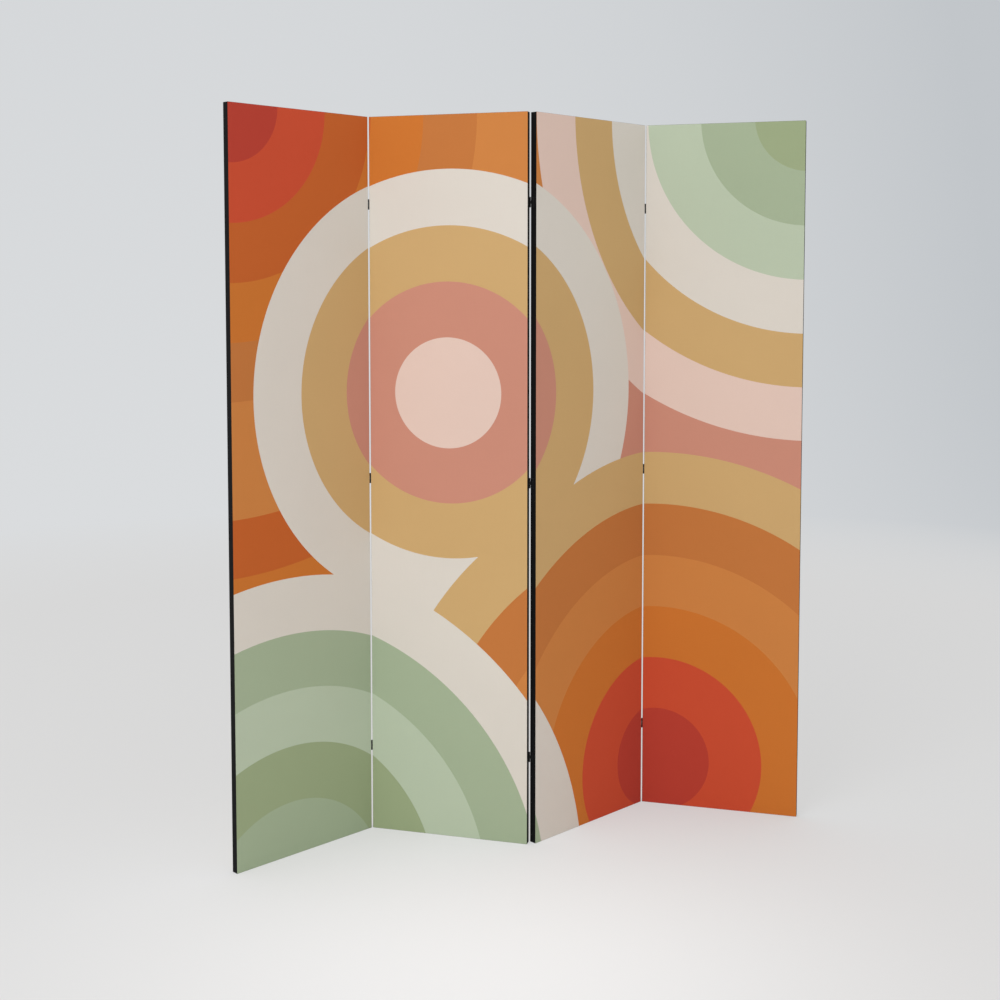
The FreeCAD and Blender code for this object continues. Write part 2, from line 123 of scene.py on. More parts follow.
class Tree:
    """A node tree while it is being built."""

    def __init__(self, tree: NodeTree) -> None:
        """Works on a tree, new or not."""
        self.tree = tree

    def feed(self, node: Node, inputs: dict) -> None:
        """Sets a node's inputs.

        Args:
            node: The node.
            inputs: What goes into its sockets, by name or place: another node's socket or a plain value.
        """
        for place, value in inputs.items():
            if isinstance(value, Socket):
                self.tree.links.new(value, node.inputs[place])
            else:
                node.inputs[place].default_value = value

    def add(self, kind: str, inputs: dict | None = None, **properties: object) -> Node:
        """Adds a node.

        Args:
            kind: The node's type name.
            inputs: Its inputs, as feed takes them.
            **properties: The node's own settings.

        Returns:
            The node.
        """
        node = self.tree.nodes.new(kind)
        for name, value in properties.items():
            setattr(node, name, value)
        self.feed(node, inputs or {})
        return node

    def get(self, kind: str, inputs: dict | None = None, out: int | str = 0, **properties: object) -> Socket:
        """Adds a node as add does and gives one of its outputs."""
        return self.add(kind, inputs, **properties).outputs[out]

    def use(self, name: str, inputs: dict) -> bpy.types.bpy_prop_collection:
        """Places a shader group and gives its outputs."""
        return self.add("ShaderNodeGroup", inputs, node_tree=bpy.data.node_groups[name]).outputs

    def place(self) -> Socket:
        """The place in the part's frame."""
        return self.get("ShaderNodeTexCoord", out="Object")

    def math(self, operation: str, *terms: object, clamp: bool = False) -> Socket:
        """The result of one sum, such as ADD or SINE, on sockets or numbers."""
        return self.get("ShaderNodeMath", dict(enumerate(terms)), operation=operation, use_clamp=clamp)

    def times(self, first: object, second: object) -> Socket:
        """One value times another."""
        return self.math("MULTIPLY", first, second)

    def scaled(self, value: object, share: object, more: object, clamp: bool = False) -> Socket:
        """A value times a share, and more added."""
        return self.math("MULTIPLY_ADD", value, share, more, clamp=clamp)

    def vector(self, operation: str, *terms: object, out: str = "Vector") -> Socket:
        """The result of one sum on vectors."""
        return self.get("ShaderNodeVectorMath", dict(enumerate(terms)), out, operation=operation)

    def spread(self, value: object, low: float, high: float, to_low: float = 0, to_high: float = 1) -> Socket:
        """Maps a value from one range to another, held at the ends."""
        return self.get("ShaderNodeMapRange", {0: value, 1: low, 2: high, 3: to_low, 4: to_high})

    def noise(self, vector: object, scale: object, detail: float = 2) -> Socket:
        """A noise value over the surface."""
        return self.get("ShaderNodeTexNoise", {"Vector": vector, "Scale": scale, "Detail": detail})

    def streaks(self, vector: object, stretch: Triple, detail: float = 2) -> Socket:
        """A noise value with a scale of its own along each axis."""
        return self.noise(self.vector("MULTIPLY", vector, stretch), 1, detail)

    def blend(self, share: object, *shades: object, how: str = "MIX") -> Socket:
        """Two colours mixed by a share, each a socket or red, green and blue."""
        first, second = (shade if isinstance(shade, Socket) else (*shade, 1) for shade in shades)
        return self.get("ShaderNodeMix", {0: share, 6: first, 7: second}, 2, data_type="RGBA", blend_type=how)

    def ramp(self, value: object, stops: Sequence[tuple[float, Color]], how: str = "LINEAR") -> Socket:
        """A colour ramp.

        Args:
            value: Where on the ramp each point of the surface is.
            stops: Places from 0 to 1, each with its colour.
            how: How the colours run into each other.

        Returns:
            The colour.
        """
        node = self.add("ShaderNodeValToRGB", {0: value})
        node.color_ramp.interpolation = how
        points = node.color_ramp.elements
        while len(points) < len(stops):
            points.new(1)
        for point, (place, shade) in zip(points, stops):
            point.position, point.color = place, (*shade, 1)
        return node.outputs[0]


class Group(Tree):
    """A node group while it is being built."""

    def __init__(self, name: str, kind: Kind, inputs: dict, outputs: dict) -> None:
        """Makes the group with named sockets, those of its inputs in given.

        Args:
            name: The group's name.
            kind: What it works on.
            inputs: Each input's name with its default, or with its socket's type where it needs none.
            outputs: Each output's name with its socket's type.
        """
        super().__init__(bpy.data.node_groups.new(name, kind.value))
        sockets = self.tree.interface
        for label, default in inputs.items():
            typed = isinstance(default, str)
            socket = default if typed else {int: "Int", float: "Float", tuple: "Vector"}[type(default)]
            made = sockets.new_socket(name=label, in_out="INPUT", socket_type=f"NodeSocket{socket}")
            if not typed:
                made.default_value = default
        for label, socket in outputs.items():
            sockets.new_socket(name=label, in_out="OUTPUT", socket_type=f"NodeSocket{socket}")
        self.given = {socket.name: socket for socket in self.add("NodeGroupInput").outputs}
        self.result = self.add("NodeGroupOutput")


class Coat(Tree):
    """A material with one principled shader, while it is being built."""

    def __init__(self, name: str, **constants: object) -> None:
        """Makes the material.

        Args:
            name: The material's name.
            **constants: Shader inputs that are the same all over, with _ for each space.
        """
        self.material = bpy.data.materials.new(name)
        self.material.use_nodes = True
        super().__init__(self.material.node_tree)
        self.shader = self.tree.nodes["Principled BSDF"]
        self.feed(self.shader, {label.replace("_", " "): value for label, value in constants.items()})

    def dress(self, looks: dict, height: Socket, depth: float, strength: float = 1) -> None:
        """Gives the shader its looks by input, and a relief with its depth and how far it turns light."""
        bump = self.get("ShaderNodeBump", {"Height": height, "Distance": depth, "Strength": strength})
        self.feed(self.shader, {**looks, "Normal": bump})

    def show(self, surface: Socket) -> None:
        """Puts a shader's output on the surface."""
        self.feed(self.tree.nodes["Material Output"], {"Surface": surface})


# Helpers for meshes and pieces


def circle(sides: int) -> list[Pair]:
    """Points evenly round a circle of radius 1."""
    turns = [2 * math.pi * step / sides for step in range(sides)]
    return [(math.cos(turn), math.sin(turn)) for turn in turns]


def turn_lines(build: Build, profile: Sequence[Pair], sides: int,
               spot: Callable[[float, float, float], Sequence[float]]) -> list[Line]:
    """Sets lines of points round an axis, each at its radius and place along it; spot makes a point."""
    around = circle(sides)
    return [[build.verts.new(spot(radius * x, radius * y, along)) for x, y in around]
            for radius, along in profile]


def loft(build: Build, lines: Sequence[Line], smooth: Callable[[int, int], bool] | None = None) -> None:
    """Joins closed lines of points, each to the next, with faces.

    Args:
        build: The build that holds the points.
        lines: The lines, all with as many points.
        smooth: Whether a face is smooth, by its line's number and its own number round it, or none are.
    """
    for number, (line, following) in enumerate(zip(lines, lines[1:])):
        for here in range(len(line)):
            face = build.faces.new((line[here - 1], line[here], following[here], following[here - 1]))
            face.smooth = bool(smooth and smooth(number, here))


def cap(build: Build, *lines: Line) -> None:
    """Closes lines of points with one face each."""
    for line in lines:
        build.faces.new(line)


def close_mesh(build: Build, name: str, material: Material | None = None) -> Mesh:
    """Turns a build into a mesh whose faces all point outwards.

    Args:
        build: The build, which is freed.
        name: The mesh's name.
        material: Its material, if it has one yet.

    Returns:
        The mesh.
    """
    bmesh.ops.recalc_face_normals(build, faces=build.faces)
    mesh = bpy.data.meshes.new(name)
    build.to_mesh(mesh)
    build.free()
    if material:
        mesh.materials.append(material)
    return mesh


def grow(carrier: Mesh, tree: NodeTree, values: dict) -> Mesh:
    """Runs a geometry tree on a carrier and keeps what it makes as a plain mesh.

    Args:
        carrier: The points or lines that the tree works from.
        tree: The geometry tree.
        values: Its inputs by name.

    Returns:
        The mesh, in the carrier's frame.
    """
    holder = bpy.data.objects.new("carrier", carrier)
    bpy.context.scene.collection.objects.link(holder)
    modifier = holder.modifiers.new("Grow", "NODES")
    modifier.node_group = tree
    for socket in tree.interface.items_tree:
        if socket.in_out == "INPUT" and socket.name in values:
            modifier[socket.identifier] = values[socket.name]
    bpy.context.view_layer.update()
    mesh = bpy.data.meshes.new_from_object(holder.evaluated_get(bpy.context.evaluated_depsgraph_get()))
    holder.modifiers.remove(modifier)
    bpy.data.objects.remove(holder)
    return mesh


def place_mesh(name: str, mesh: Mesh, place: Matrix = PLAIN) -> bpy.types.Object:
    """Puts a mesh in the scene, its place in its points and its object at the origin.

    Args:
        name: The object's name.
        mesh: Its mesh, in the frame that place moves.
        place: From that frame to the part's own.

    Returns:
        The object.
    """
    mesh.transform(place)
    made = bpy.data.objects.new(name, mesh)
    bpy.context.scene.collection.objects.link(made)
    return made


def add_piece(name: str, mesh: Mesh, place: Matrix, body: str,
              stands_for: Sequence[str] = ()) -> bpy.types.Object:
    """Adds a piece that rides on a body.

    Args:
        name: The piece's name.
        mesh: Its mesh, in the frame that place moves.
        place: From that frame to the part's own.
        body: The body that it rides on.
        stands_for: The solids that it replaces.

    Returns:
        The piece.
    """
    piece = place_mesh(name, mesh, place)
    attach(piece, body)
    if stands_for:
        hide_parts(*stands_for)
    log.info("%s: %d faces on %s", name, len(mesh.polygons), body)
    return piece


def dress_node(node: str, material: Material) -> None:
    """Gives a solid of the part a material."""
    frame["nodes"][node].data.materials.clear()
    frame["nodes"][node].data.materials.append(material)


# Sizes of the screen, and where its panels stand


@dataclass(frozen=True)
class ScreenSizes:
    """The sizes that every panel and hinge shares with the part."""

    width: float = 0.400
    height: float = 1.770
    depth: float = 0.0185
    cloth: float = 0.0005
    turn: float = math.radians(30)
    pin_proud: float = 0.0004
    tight_bore: float = 0.0007
    loose_bore: float = 0.00075
    plate: float = 0.0007
    hinge_height: float = 0.025
    hinge_inset: float = 0.212
    screw_depth: float = 0.007
    screw_inset: float = 0.0055

    def bore(self, side: Side) -> float:
        """The radius of the knuckles' bore in a leaf on that side of a panel."""
        return self.tight_bore if side is Side.RIGHT else self.loose_bore

    def pin_depth(self, fold: str) -> float:
        """How deep a fold's pin stands in the panels beside it."""
        return self.depth + self.pin_proud if fold == "middle_fold" else -self.pin_proud

    def hinge_middles(self) -> list[float]:
        """The heights of the middles of a fold's three hinges."""
        return [self.hinge_inset, self.height / 2, self.height - self.hinge_inset]


@dataclass(frozen=True)
class Fold:
    """A fold of the screen, with the bodies on its left and right."""

    name: str
    pin: Vector
    left: str
    right: str


def read_folds() -> list[Fold]:
    """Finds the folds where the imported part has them.

    Returns:
        The folds from left to right.
    """
    names = ("left_fold", "middle_fold", "right_fold")
    places = {joint["name"]: Vector(joint["pos_m"]) for joint in frame["joints"]}
    return [Fold(name, places[name], f"panel_{k}", f"panel_{k + 1}") for k, name in enumerate(names, 1)]


def panel_place(sizes: ScreenSizes, index: int, folds: Sequence[Fold]) -> Matrix:
    """Finds where a panel stands, from the pin beside it.

    Args:
        sizes: The screen's sizes.
        index: The panel's place from the left, from 0.
        folds: The folds from left to right.

    Returns:
        From the panel's own frame to the part's.
    """
    fold = folds[max(index - 1, 0)]
    side = Side.LEFT if index else Side.RIGHT
    edge = 0 if index else sizes.width
    pin = Vector((edge - side.value * (sizes.bore(side) + sizes.plate), sizes.pin_depth(fold.name), 0))
    rotation = Matrix.Rotation(sizes.turn * (-1) ** index, 4, "Z")
    return Matrix.Translation(fold.pin - rotation @ pin) @ rotation


# Shader effects that materials share


@dataclass(frozen=True)
class Weave:
    """A plain weave: the relief of its threads and how light each of them lies."""

    mean: float = 0.6
    swing: float = 0.4
    fullness: float = 0.7
    slub_fine: float = 900.0
    slub_long: float = 14.0
    slub_share: float = 0.35
    dark_below: float = 0.25
    light_above: float = 0.95

    def build(self) -> None:
        """Builds the group, which takes a place on the flat cloth and the width of a thread."""
        inputs = {"Position": "Vector", "Thread": 0.8 * MM}
        tree = Group("Weave", Kind.SHADER, inputs, {"Relief": "Float", "Shade": "Float"})
        position = tree.given["Position"]
        parts = tree.add("ShaderNodeSeparateXYZ", {0: position}).outputs
        half_turn = tree.math("DIVIDE", math.pi, tree.given["Thread"])
        across, along = (tree.math("COSINE", tree.times(part, half_turn)) for part in parts[:2])
        over = tree.times(across, along)
        threads = []
        for wave, swing in ((across, self.swing), (along, -self.swing)):
            round_top = tree.math("POWER", tree.math("ABSOLUTE", wave), self.fullness)
            threads.append(tree.times(round_top, tree.scaled(over, swing, self.mean)))
        fine, long = self.slub_fine, self.slub_long
        slubs = [tree.streaks(position, stretch, detail=1) for stretch in ((fine, long, 1), (long, fine, 1))]
        thickness = tree.scaled(tree.math("ADD", *slubs), self.slub_share, 1 - self.slub_share)
        relief = tree.times(tree.math("MAXIMUM", *threads), thickness)
        shade = tree.spread(relief, self.dark_below, self.light_above)
        tree.feed(tree.result, {"Relief": relief, "Shade": shade})


@dataclass(frozen=True)
class PineGrain:
    """Pine grain: growth rings round a pith that runs along X, fine fibres, resin lines and one knot."""

    wander: float = 0.011
    wander_stretch: Triple = (1.7, 9, 9)
    quiver: float = 1.5 * MM
    quiver_stretch: Triple = (4, 70, 70)
    swell: float = 0.010
    swell_fall: float = -95.0
    knot_stretch: Triple = (0.62, 1, 1)
    knot_edge: float = 6.8 * MM
    knot_heart: float = 3.6 * MM
    knot_share: float = 0.82
    knot_tone: Color = ink(104, 62, 34)
    ring_stops: tuple[Pair, ...] = (
        (0.0, 0.0), (0.4, 0.10), (0.78, 0.62), (0.90, 1.0), (0.96, 0.5), (1.0, 0.0),
    )
    weak_ring: float = 0.35
    fibre_stretch: Triple = (16, 1500, 1500)
    fibre_share: float = 0.24
    tone_stretch: Triple = (3, 30, 30)
    tone_share: float = 0.5
    late_share: float = 0.36
    resin_stretch: Triple = (45, 2600, 2600)
    resin_range: Pair = (0.66, 0.78)
    resin_share: float = 0.30

    def build(self) -> None:
        """Builds the group, which takes a place in the bar, its ring width, knot and two colours."""
        inputs = {"Position": "Vector", "Ring": 2.6 * MM, "Knot": "Vector", "Pale": "Color", "Dark": "Color"}
        tree = Group("PineGrain", Kind.SHADER, inputs, {"Color": "Color", "Relief": "Float"})
        position = tree.given["Position"]
        from_knot = tree.vector("SUBTRACT", position, tree.given["Knot"])
        knot_reach = tree.vector("LENGTH", tree.vector("MULTIPLY", from_knot, self.knot_stretch), out="Value")
        reach = tree.vector("LENGTH", tree.vector("MULTIPLY", position, (0, 1, 1)), out="Value")
        for bend, size in (
            (tree.streaks(position, self.wander_stretch, detail=3), self.wander),
            (tree.streaks(position, self.quiver_stretch), self.quiver),
            (tree.math("EXPONENT", tree.times(knot_reach, self.swell_fall)), self.swell),
        ):
            reach = tree.scaled(bend, size, reach)
        count = tree.math("DIVIDE", reach, tree.given["Ring"])
        late = tree.ramp(tree.math("FRACT", count), [(place, (tone,) * 3) for place, tone in self.ring_stops])
        chance = tree.get("ShaderNodeTexWhiteNoise", {"W": tree.math("FLOOR", count)}, noise_dimensions="1D")
        late = tree.times(late, tree.spread(chance, 0, 1, self.weak_ring, 1))
        fibre = tree.streaks(position, self.fibre_stretch)
        tone = tree.streaks(position, self.tone_stretch)
        depth = tree.times(late, tree.scaled(tone, self.tone_share, self.late_share))
        depth = tree.math("ADD", depth, tree.scaled(fibre, self.fibre_share, -self.fibre_share / 2))
        resin = tree.spread(tree.streaks(position, self.resin_stretch, detail=1), *self.resin_range)
        depth = tree.scaled(resin, self.resin_share, depth, clamp=True)
        wood = tree.blend(depth, tree.given["Pale"], tree.given["Dark"])
        heart = tree.spread(knot_reach, self.knot_edge, self.knot_heart, 0, self.knot_share)
        relief = tree.times(tree.math("ADD", fibre, late), 0.5)
        tree.feed(tree.result, {"Color": tree.blend(heart, wood, self.knot_tone), "Relief": relief})


@dataclass(frozen=True)
class Patches:
    """Soft patches over a surface: a noise of that scale, seen within a range of its values."""

    scale: float
    seen: Pair
    detail: float = 2
    share: float = 1

    def mask(self, tree: Tree, place: Socket) -> Socket:
        """A mask from 0 outside the patches to their share inside."""
        return tree.spread(tree.noise(place, self.scale, self.detail), *self.seen, 0, self.share)


@dataclass(frozen=True)
class Scuffs:
    """Fine rubs on metal, in patches."""

    detail: float = 4.0
    fine_range: Pair = (0.54, 0.72)
    patch_range: Pair = (0.42, 0.68)

    def build(self) -> None:
        """Builds the group, which takes a place and how fine the rubs and their patches are."""
        inputs = {"Position": "Vector", "Fine": 900.0, "Patch": 90.0}
        tree = Group("Scuffs", Kind.SHADER, inputs, {"Mask": "Float", "Relief": "Float"})
        fine = tree.noise(tree.given["Position"], tree.given["Fine"], self.detail)
        patch = tree.noise(tree.given["Position"], tree.given["Patch"])
        mask = tree.times(tree.spread(fine, *self.fine_range), tree.spread(patch, *self.patch_range))
        tree.feed(tree.result, {"Mask": mask, "Relief": fine})


# Finishes


@dataclass(frozen=True)
class RingFamily:
    """A family of nested rings: its centre on the unfolded screen, and its inks from inside out."""

    centre: Pair
    inks: tuple[Color, ...]


@dataclass(frozen=True)
class PrintDesign:
    """The print: overlapping families of nested rings over a plain ground."""

    red: Color = ink(199, 77, 48)
    deep_red: Color = ink(181, 63, 48)
    rust: Color = ink(192, 96, 41)
    orange: Color = ink(200, 115, 46)
    dark_orange: Color = ink(191, 117, 60)
    light_orange: Color = ink(201, 128, 66)
    ochre: Color = ink(201, 165, 112)
    salmon: Color = ink(199, 138, 118)
    pale_pink: Color = ink(223, 196, 183)
    off_white: Color = ink(216, 209, 199)
    pale_sage: Color = ink(183, 195, 171)
    mid_sage: Color = ink(163, 177, 148)
    sage: Color = ink(154, 167, 130)
    ring: float = 0.135

    def families(self) -> list[RingFamily]:
        """Lays out the design.

        Returns:
            The ring families from front to back.
        """
        low_left = (self.sage, self.mid_sage, self.sage, self.pale_sage, self.mid_sage, self.off_white)
        low_right = (self.deep_red, self.red, self.orange, self.light_orange, self.dark_orange, self.ochre)
        sun = (self.pale_pink, self.salmon, self.ochre, self.off_white)
        high_right = (self.sage, self.mid_sage, self.pale_sage, self.off_white, self.ochre, self.pale_pink)
        high_left = (self.deep_red, self.red, self.rust, self.orange, self.dark_orange)
        high_left += (self.light_orange, self.light_orange, self.rust, self.orange)
        return [
            RingFamily((0.16, -0.14), low_left),
            RingFamily((1.24, 0.12), low_right),
            RingFamily((0.60, 1.10), sun),
            RingFamily((1.61, 1.78), high_right),
            RingFamily((0.00, 1.77), high_left),
        ]

    def add_family(self, tree: Group, family: RingFamily, under: object) -> Socket:
        """Lays one family over what is under it.

        Args:
            tree: The print's tree.
            family: The family.
            under: The colour under it.

        Returns:
            The colour with the family on top.
        """
        count = len(family.inks)
        reach = tree.vector("DISTANCE", tree.given["Position"], (*family.centre, 0), out="Value")
        rings = tree.math("DIVIDE", reach, self.ring)
        place = tree.math("DIVIDE", tree.math("ADD", tree.math("FLOOR", rings), 0.5), count)
        tone = tree.ramp(place, [(step / count, shade) for step, shade in enumerate(family.inks)], "CONSTANT")
        return tree.blend(tree.math("LESS_THAN", rings, count), under, tone)

    def build(self) -> None:
        """Builds the print as a group that takes a place on the unfolded screen."""
        tree = Group("Print", Kind.SHADER, {"Position": "Vector"}, {"Color": "Color"})
        tone = self.salmon
        for family in reversed(self.families()):
            tone = self.add_family(tree, family, tone)
        tree.feed(tree.result, {"Color": tone})


@dataclass(frozen=True)
class PrintedCanvas:
    """Cotton canvas: printed on its face, black at its edges, raw behind."""

    raw: Color = ink(221, 212, 194)
    raw_fleck: Color = ink(176, 160, 132)
    raw_dark: Color = ink(188, 174, 148)
    black: Color = ink(14, 14, 15)
    worn_black: Color = ink(38, 37, 36)
    thread: float = 0.8 * MM
    relief: float = 0.16 * MM
    relief_strength: float = 0.6
    roughness: Pair = (0.92, 0.78)
    flecks: Patches = Patches(900, (0.62, 0.78))
    dust: Patches = Patches(55, (0.55, 0.8), detail=3, share=0.25)
    edge_blend: Pair = (-0.25 * MM, 0.05 * MM)
    black_reach: float = 27 * MM
    ragged: float = 1.6 * MM
    ragged_scale: float = 260.0
    bleed: float = 1.2 * MM
    strike_through: float = 0.10
    painted_hollow_shade_share: float = 0.07
    drift: float = 0.015
    drift_scale: float = 3.2
    drift_range: Pair = (0.3, 0.7)
    rubs: Patches = Patches(330, (0.5, 0.72), detail=3)
    rub_reach: float = 0.9 * MM
    rub_share: float = 0.24
    loose_tone: Patches = Patches(700, (0.35, 0.7))
    loose_fuzz: float = 2600.0
    loose_relief: float = 0.05 * MM

    def thread_material(self) -> Material:
        """Makes the material of threads pulled out of the cloth.

        Returns:
            The material.
        """
        tree = Coat("raw_thread", Roughness=0.85, Sheen_Weight=0.2, Specular_IOR_Level=0.2)
        place = tree.place()
        tone = tree.blend(self.loose_tone.mask(tree, place), self.raw, self.raw_dark)
        tree.dress({"Base Color": tone}, tree.noise(place, self.loose_fuzz, detail=1), self.loose_relief)
        return tree.material

    def material(self) -> Material:
        """Makes the cloth's material, which reads its UV map and two attributes of its points.

        Returns:
            The material.
        """
        tree = Coat("printed_canvas", Sheen_Weight=0.02, Sheen_Roughness=0.6, Specular_IOR_Level=0.08)
        place = tree.get("ShaderNodeUVMap", uv_map=CLOTH_MAP)
        past, reverse = (tree.get("ShaderNodeAttribute", out="Fac", attribute_name=name)
                         for name in (PAST_EDGE, REVERSE))
        relief, shade = tree.use("Weave", {"Position": place, "Thread": self.thread})
        design = tree.use("Print", {"Position": place})[0]
        stray = tree.noise(place, self.ragged_scale, detail=3)
        ink_end = tree.math("ADD", past, tree.scaled(stray, self.ragged, -self.ragged / 2))
        uninked = tree.spread(ink_end, self.black_reach, self.black_reach + self.bleed)
        raw = tree.blend(self.flecks.mask(tree, place), self.raw, self.raw_fleck)
        dusty = tree.times(shade, self.dust.mask(tree, place))
        edge = tree.blend(dusty, self.black, self.worn_black)
        face = tree.blend(tree.spread(past, *self.edge_blend), design, edge)
        near_bend = tree.spread(tree.math("ABSOLUTE", past), self.rub_reach, 0, 0, self.rub_share)
        rubbed = tree.times(near_bend, self.rubs.mask(tree, place))
        face = tree.blend(tree.times(rubbed, shade), face, self.raw_dark)
        outside = tree.blend(uninked, face, raw)
        inside = tree.blend(self.strike_through, raw, design)
        tone = tree.blend(tree.math("GREATER_THAN", reverse, 0.5), outside, inside)
        # Painted shade: the hollows between threads are darkened towards black.
        painted_hollow_shade = tree.times(tree.math("SUBTRACT", 1, shade), self.painted_hollow_shade_share)
        tone = tree.blend(painted_hollow_shade, tone, self.black)
        drift = tree.noise(place, self.drift_scale, detail=3)
        drift = tree.spread(drift, *self.drift_range, 1 - self.drift, 1 + self.drift)
        drift = tree.get("ShaderNodeCombineColor", {part: drift for part in range(3)})
        tone = tree.blend(1.0, tone, drift, how="MULTIPLY")
        looks = {"Base Color": tone, "Roughness": tree.spread(shade, 0, 1, *self.roughness)}
        tree.dress(looks, relief, self.relief, self.relief_strength)
        return tree.material


@dataclass(frozen=True)
class Pine:
    """Planed, unfinished pine."""

    pale: Color = ink(223, 192, 147)
    dark: Color = ink(176, 124, 75)
    ring: float = 2.7 * MM
    ring_range: Pair = (0.7, 1.15)
    pith_range: Pair = (0.03, 0.07)
    pith_rise: float = -0.01
    knot_run: float = 0.6
    knot_off: float = 9 * MM
    roughness: Pair = (0.68, 0.5)
    relief: float = 0.12 * MM
    relief_strength: float = 0.5

    def material(self, name: str, to_bar: Matrix, rng: random.Random) -> Material:
        """Makes the material of one bar.

        Args:
            name: The material's name.
            to_bar: From the part's frame to the bar's, whose X runs along the bar from its middle.
            rng: Where the bar's own pith and knot come from.

        Returns:
            The material.
        """
        tree = Coat(name, Specular_IOR_Level=0.3)
        deep = rng.uniform(*self.pith_range) + self.pith_rise
        pith = Matrix.Translation((0, deep, rng.choice((-1, 1)) * rng.uniform(*self.pith_range)))
        move, spin, _ = (pith @ to_bar).decompose()
        mapping = {"Vector": tree.place(), "Location": move, "Rotation": spin.to_euler()}
        run, off = self.knot_run, self.knot_off
        knot = pith @ Vector((rng.uniform(-run, run), rng.uniform(-off, off), rng.uniform(-off, off)))
        color, relief = tree.use("PineGrain", {
            "Position": tree.get("ShaderNodeMapping", mapping),
            "Ring": self.ring * rng.uniform(*self.ring_range),
            "Knot": knot,
            "Pale": (*self.pale, 1),
            "Dark": (*self.dark, 1),
        })
        looks = {"Base Color": color, "Roughness": tree.spread(relief, 0, 1, *self.roughness)}
        tree.dress(looks, relief, self.relief, self.relief_strength)
        return tree.material


@dataclass(frozen=True)
class Metal:
    """Steel, bare or under black lacquer."""

    name: str
    body: Color
    scuffed: Color
    roughness: float
    metallic: float
    smoother: float = 0.06
    rougher: float = 0.10
    relief_range: Pair = (0.3, 0.7)
    relief: float = 0.02 * MM
    relief_strength: float = 0.35

    def material(self) -> Material:
        """Makes the metal's material.

        Returns:
            The material.
        """
        tree = Coat(self.name, Metallic=self.metallic)
        mask, relief = tree.use("Scuffs", {"Position": tree.place()})
        smooth, rough = self.roughness - self.smoother, self.roughness + self.rougher
        looks = {
            "Base Color": tree.blend(mask, self.body, self.scuffed),
            "Roughness": tree.spread(relief, *self.relief_range, smooth, rough),
        }
        tree.dress(looks, relief, self.relief, self.relief_strength)
        return tree.material


BLACK_HINGE = Metal("black_hinge", ink(20, 20, 21), ink(62, 61, 60), roughness=0.42, metallic=0.0)
BLACK_SCREW = Metal("black_screw", ink(27, 27, 27), ink(88, 85, 82), roughness=0.40, metallic=0.55)
STAPLE_STEEL = Metal("staple_steel", ink(186, 187, 188), ink(128, 124, 118), roughness=0.34, metallic=1.0)


# Canvas


class ClothBuild:
    """A cloth's mesh while it is being built, with each point's place on the flat cloth."""

    def __init__(self) -> None:
        """Starts an empty mesh with the layers that the canvas's material reads."""
        self.build = bmesh.new()
        self.flat = self.build.loops.layers.uv.new(CLOTH_MAP)
        self.past = self.build.verts.layers.float.new(PAST_EDGE)
        self.reverse = self.build.verts.layers.float.new(REVERSE)
        self.flat_of = {}

    def point(self, place: Triple, flat: Pair, past: float, reverse: bool) -> bmesh.types.BMVert:
        """Adds a point.

        Args:
            place: Where it is in the panel's frame.
            flat: Where it is on the flat cloth.
            past: How far past the face's edge it is.
            reverse: Whether it is on the back of the cloth.

        Returns:
            The point.
        """
        vert = self.build.verts.new(place)
        vert[self.past], vert[self.reverse] = past, float(reverse)
        self.flat_of[vert] = flat
        return vert

    def wrap(self, lines: Sequence[Line], smooth: Callable[[int, int], bool]) -> None:
        """Joins closed lines of points and closes both ends."""
        loft(self.build, lines, smooth)
        cap(self.build, lines[0], lines[-1])

    def finish(self, name: str, material: Material) -> Mesh:
        """Writes the flat places to the faces.

        Args:
            name: The mesh's name.
            material: Its material.

        Returns:
            The mesh.
        """
        for face in self.build.faces:
            for loop in face.loops:
                loop[self.flat].uv = self.flat_of[loop.vert]
        return close_mesh(self.build, name, material)


@dataclass
class Ring:
    """One line round the cloth: how far in from the panel's outline, how deep, and how far past its edge."""

    inset: float
    depth: float
    past: float
    reverse: bool = False
    wavy: bool = False
    smooth: bool = False


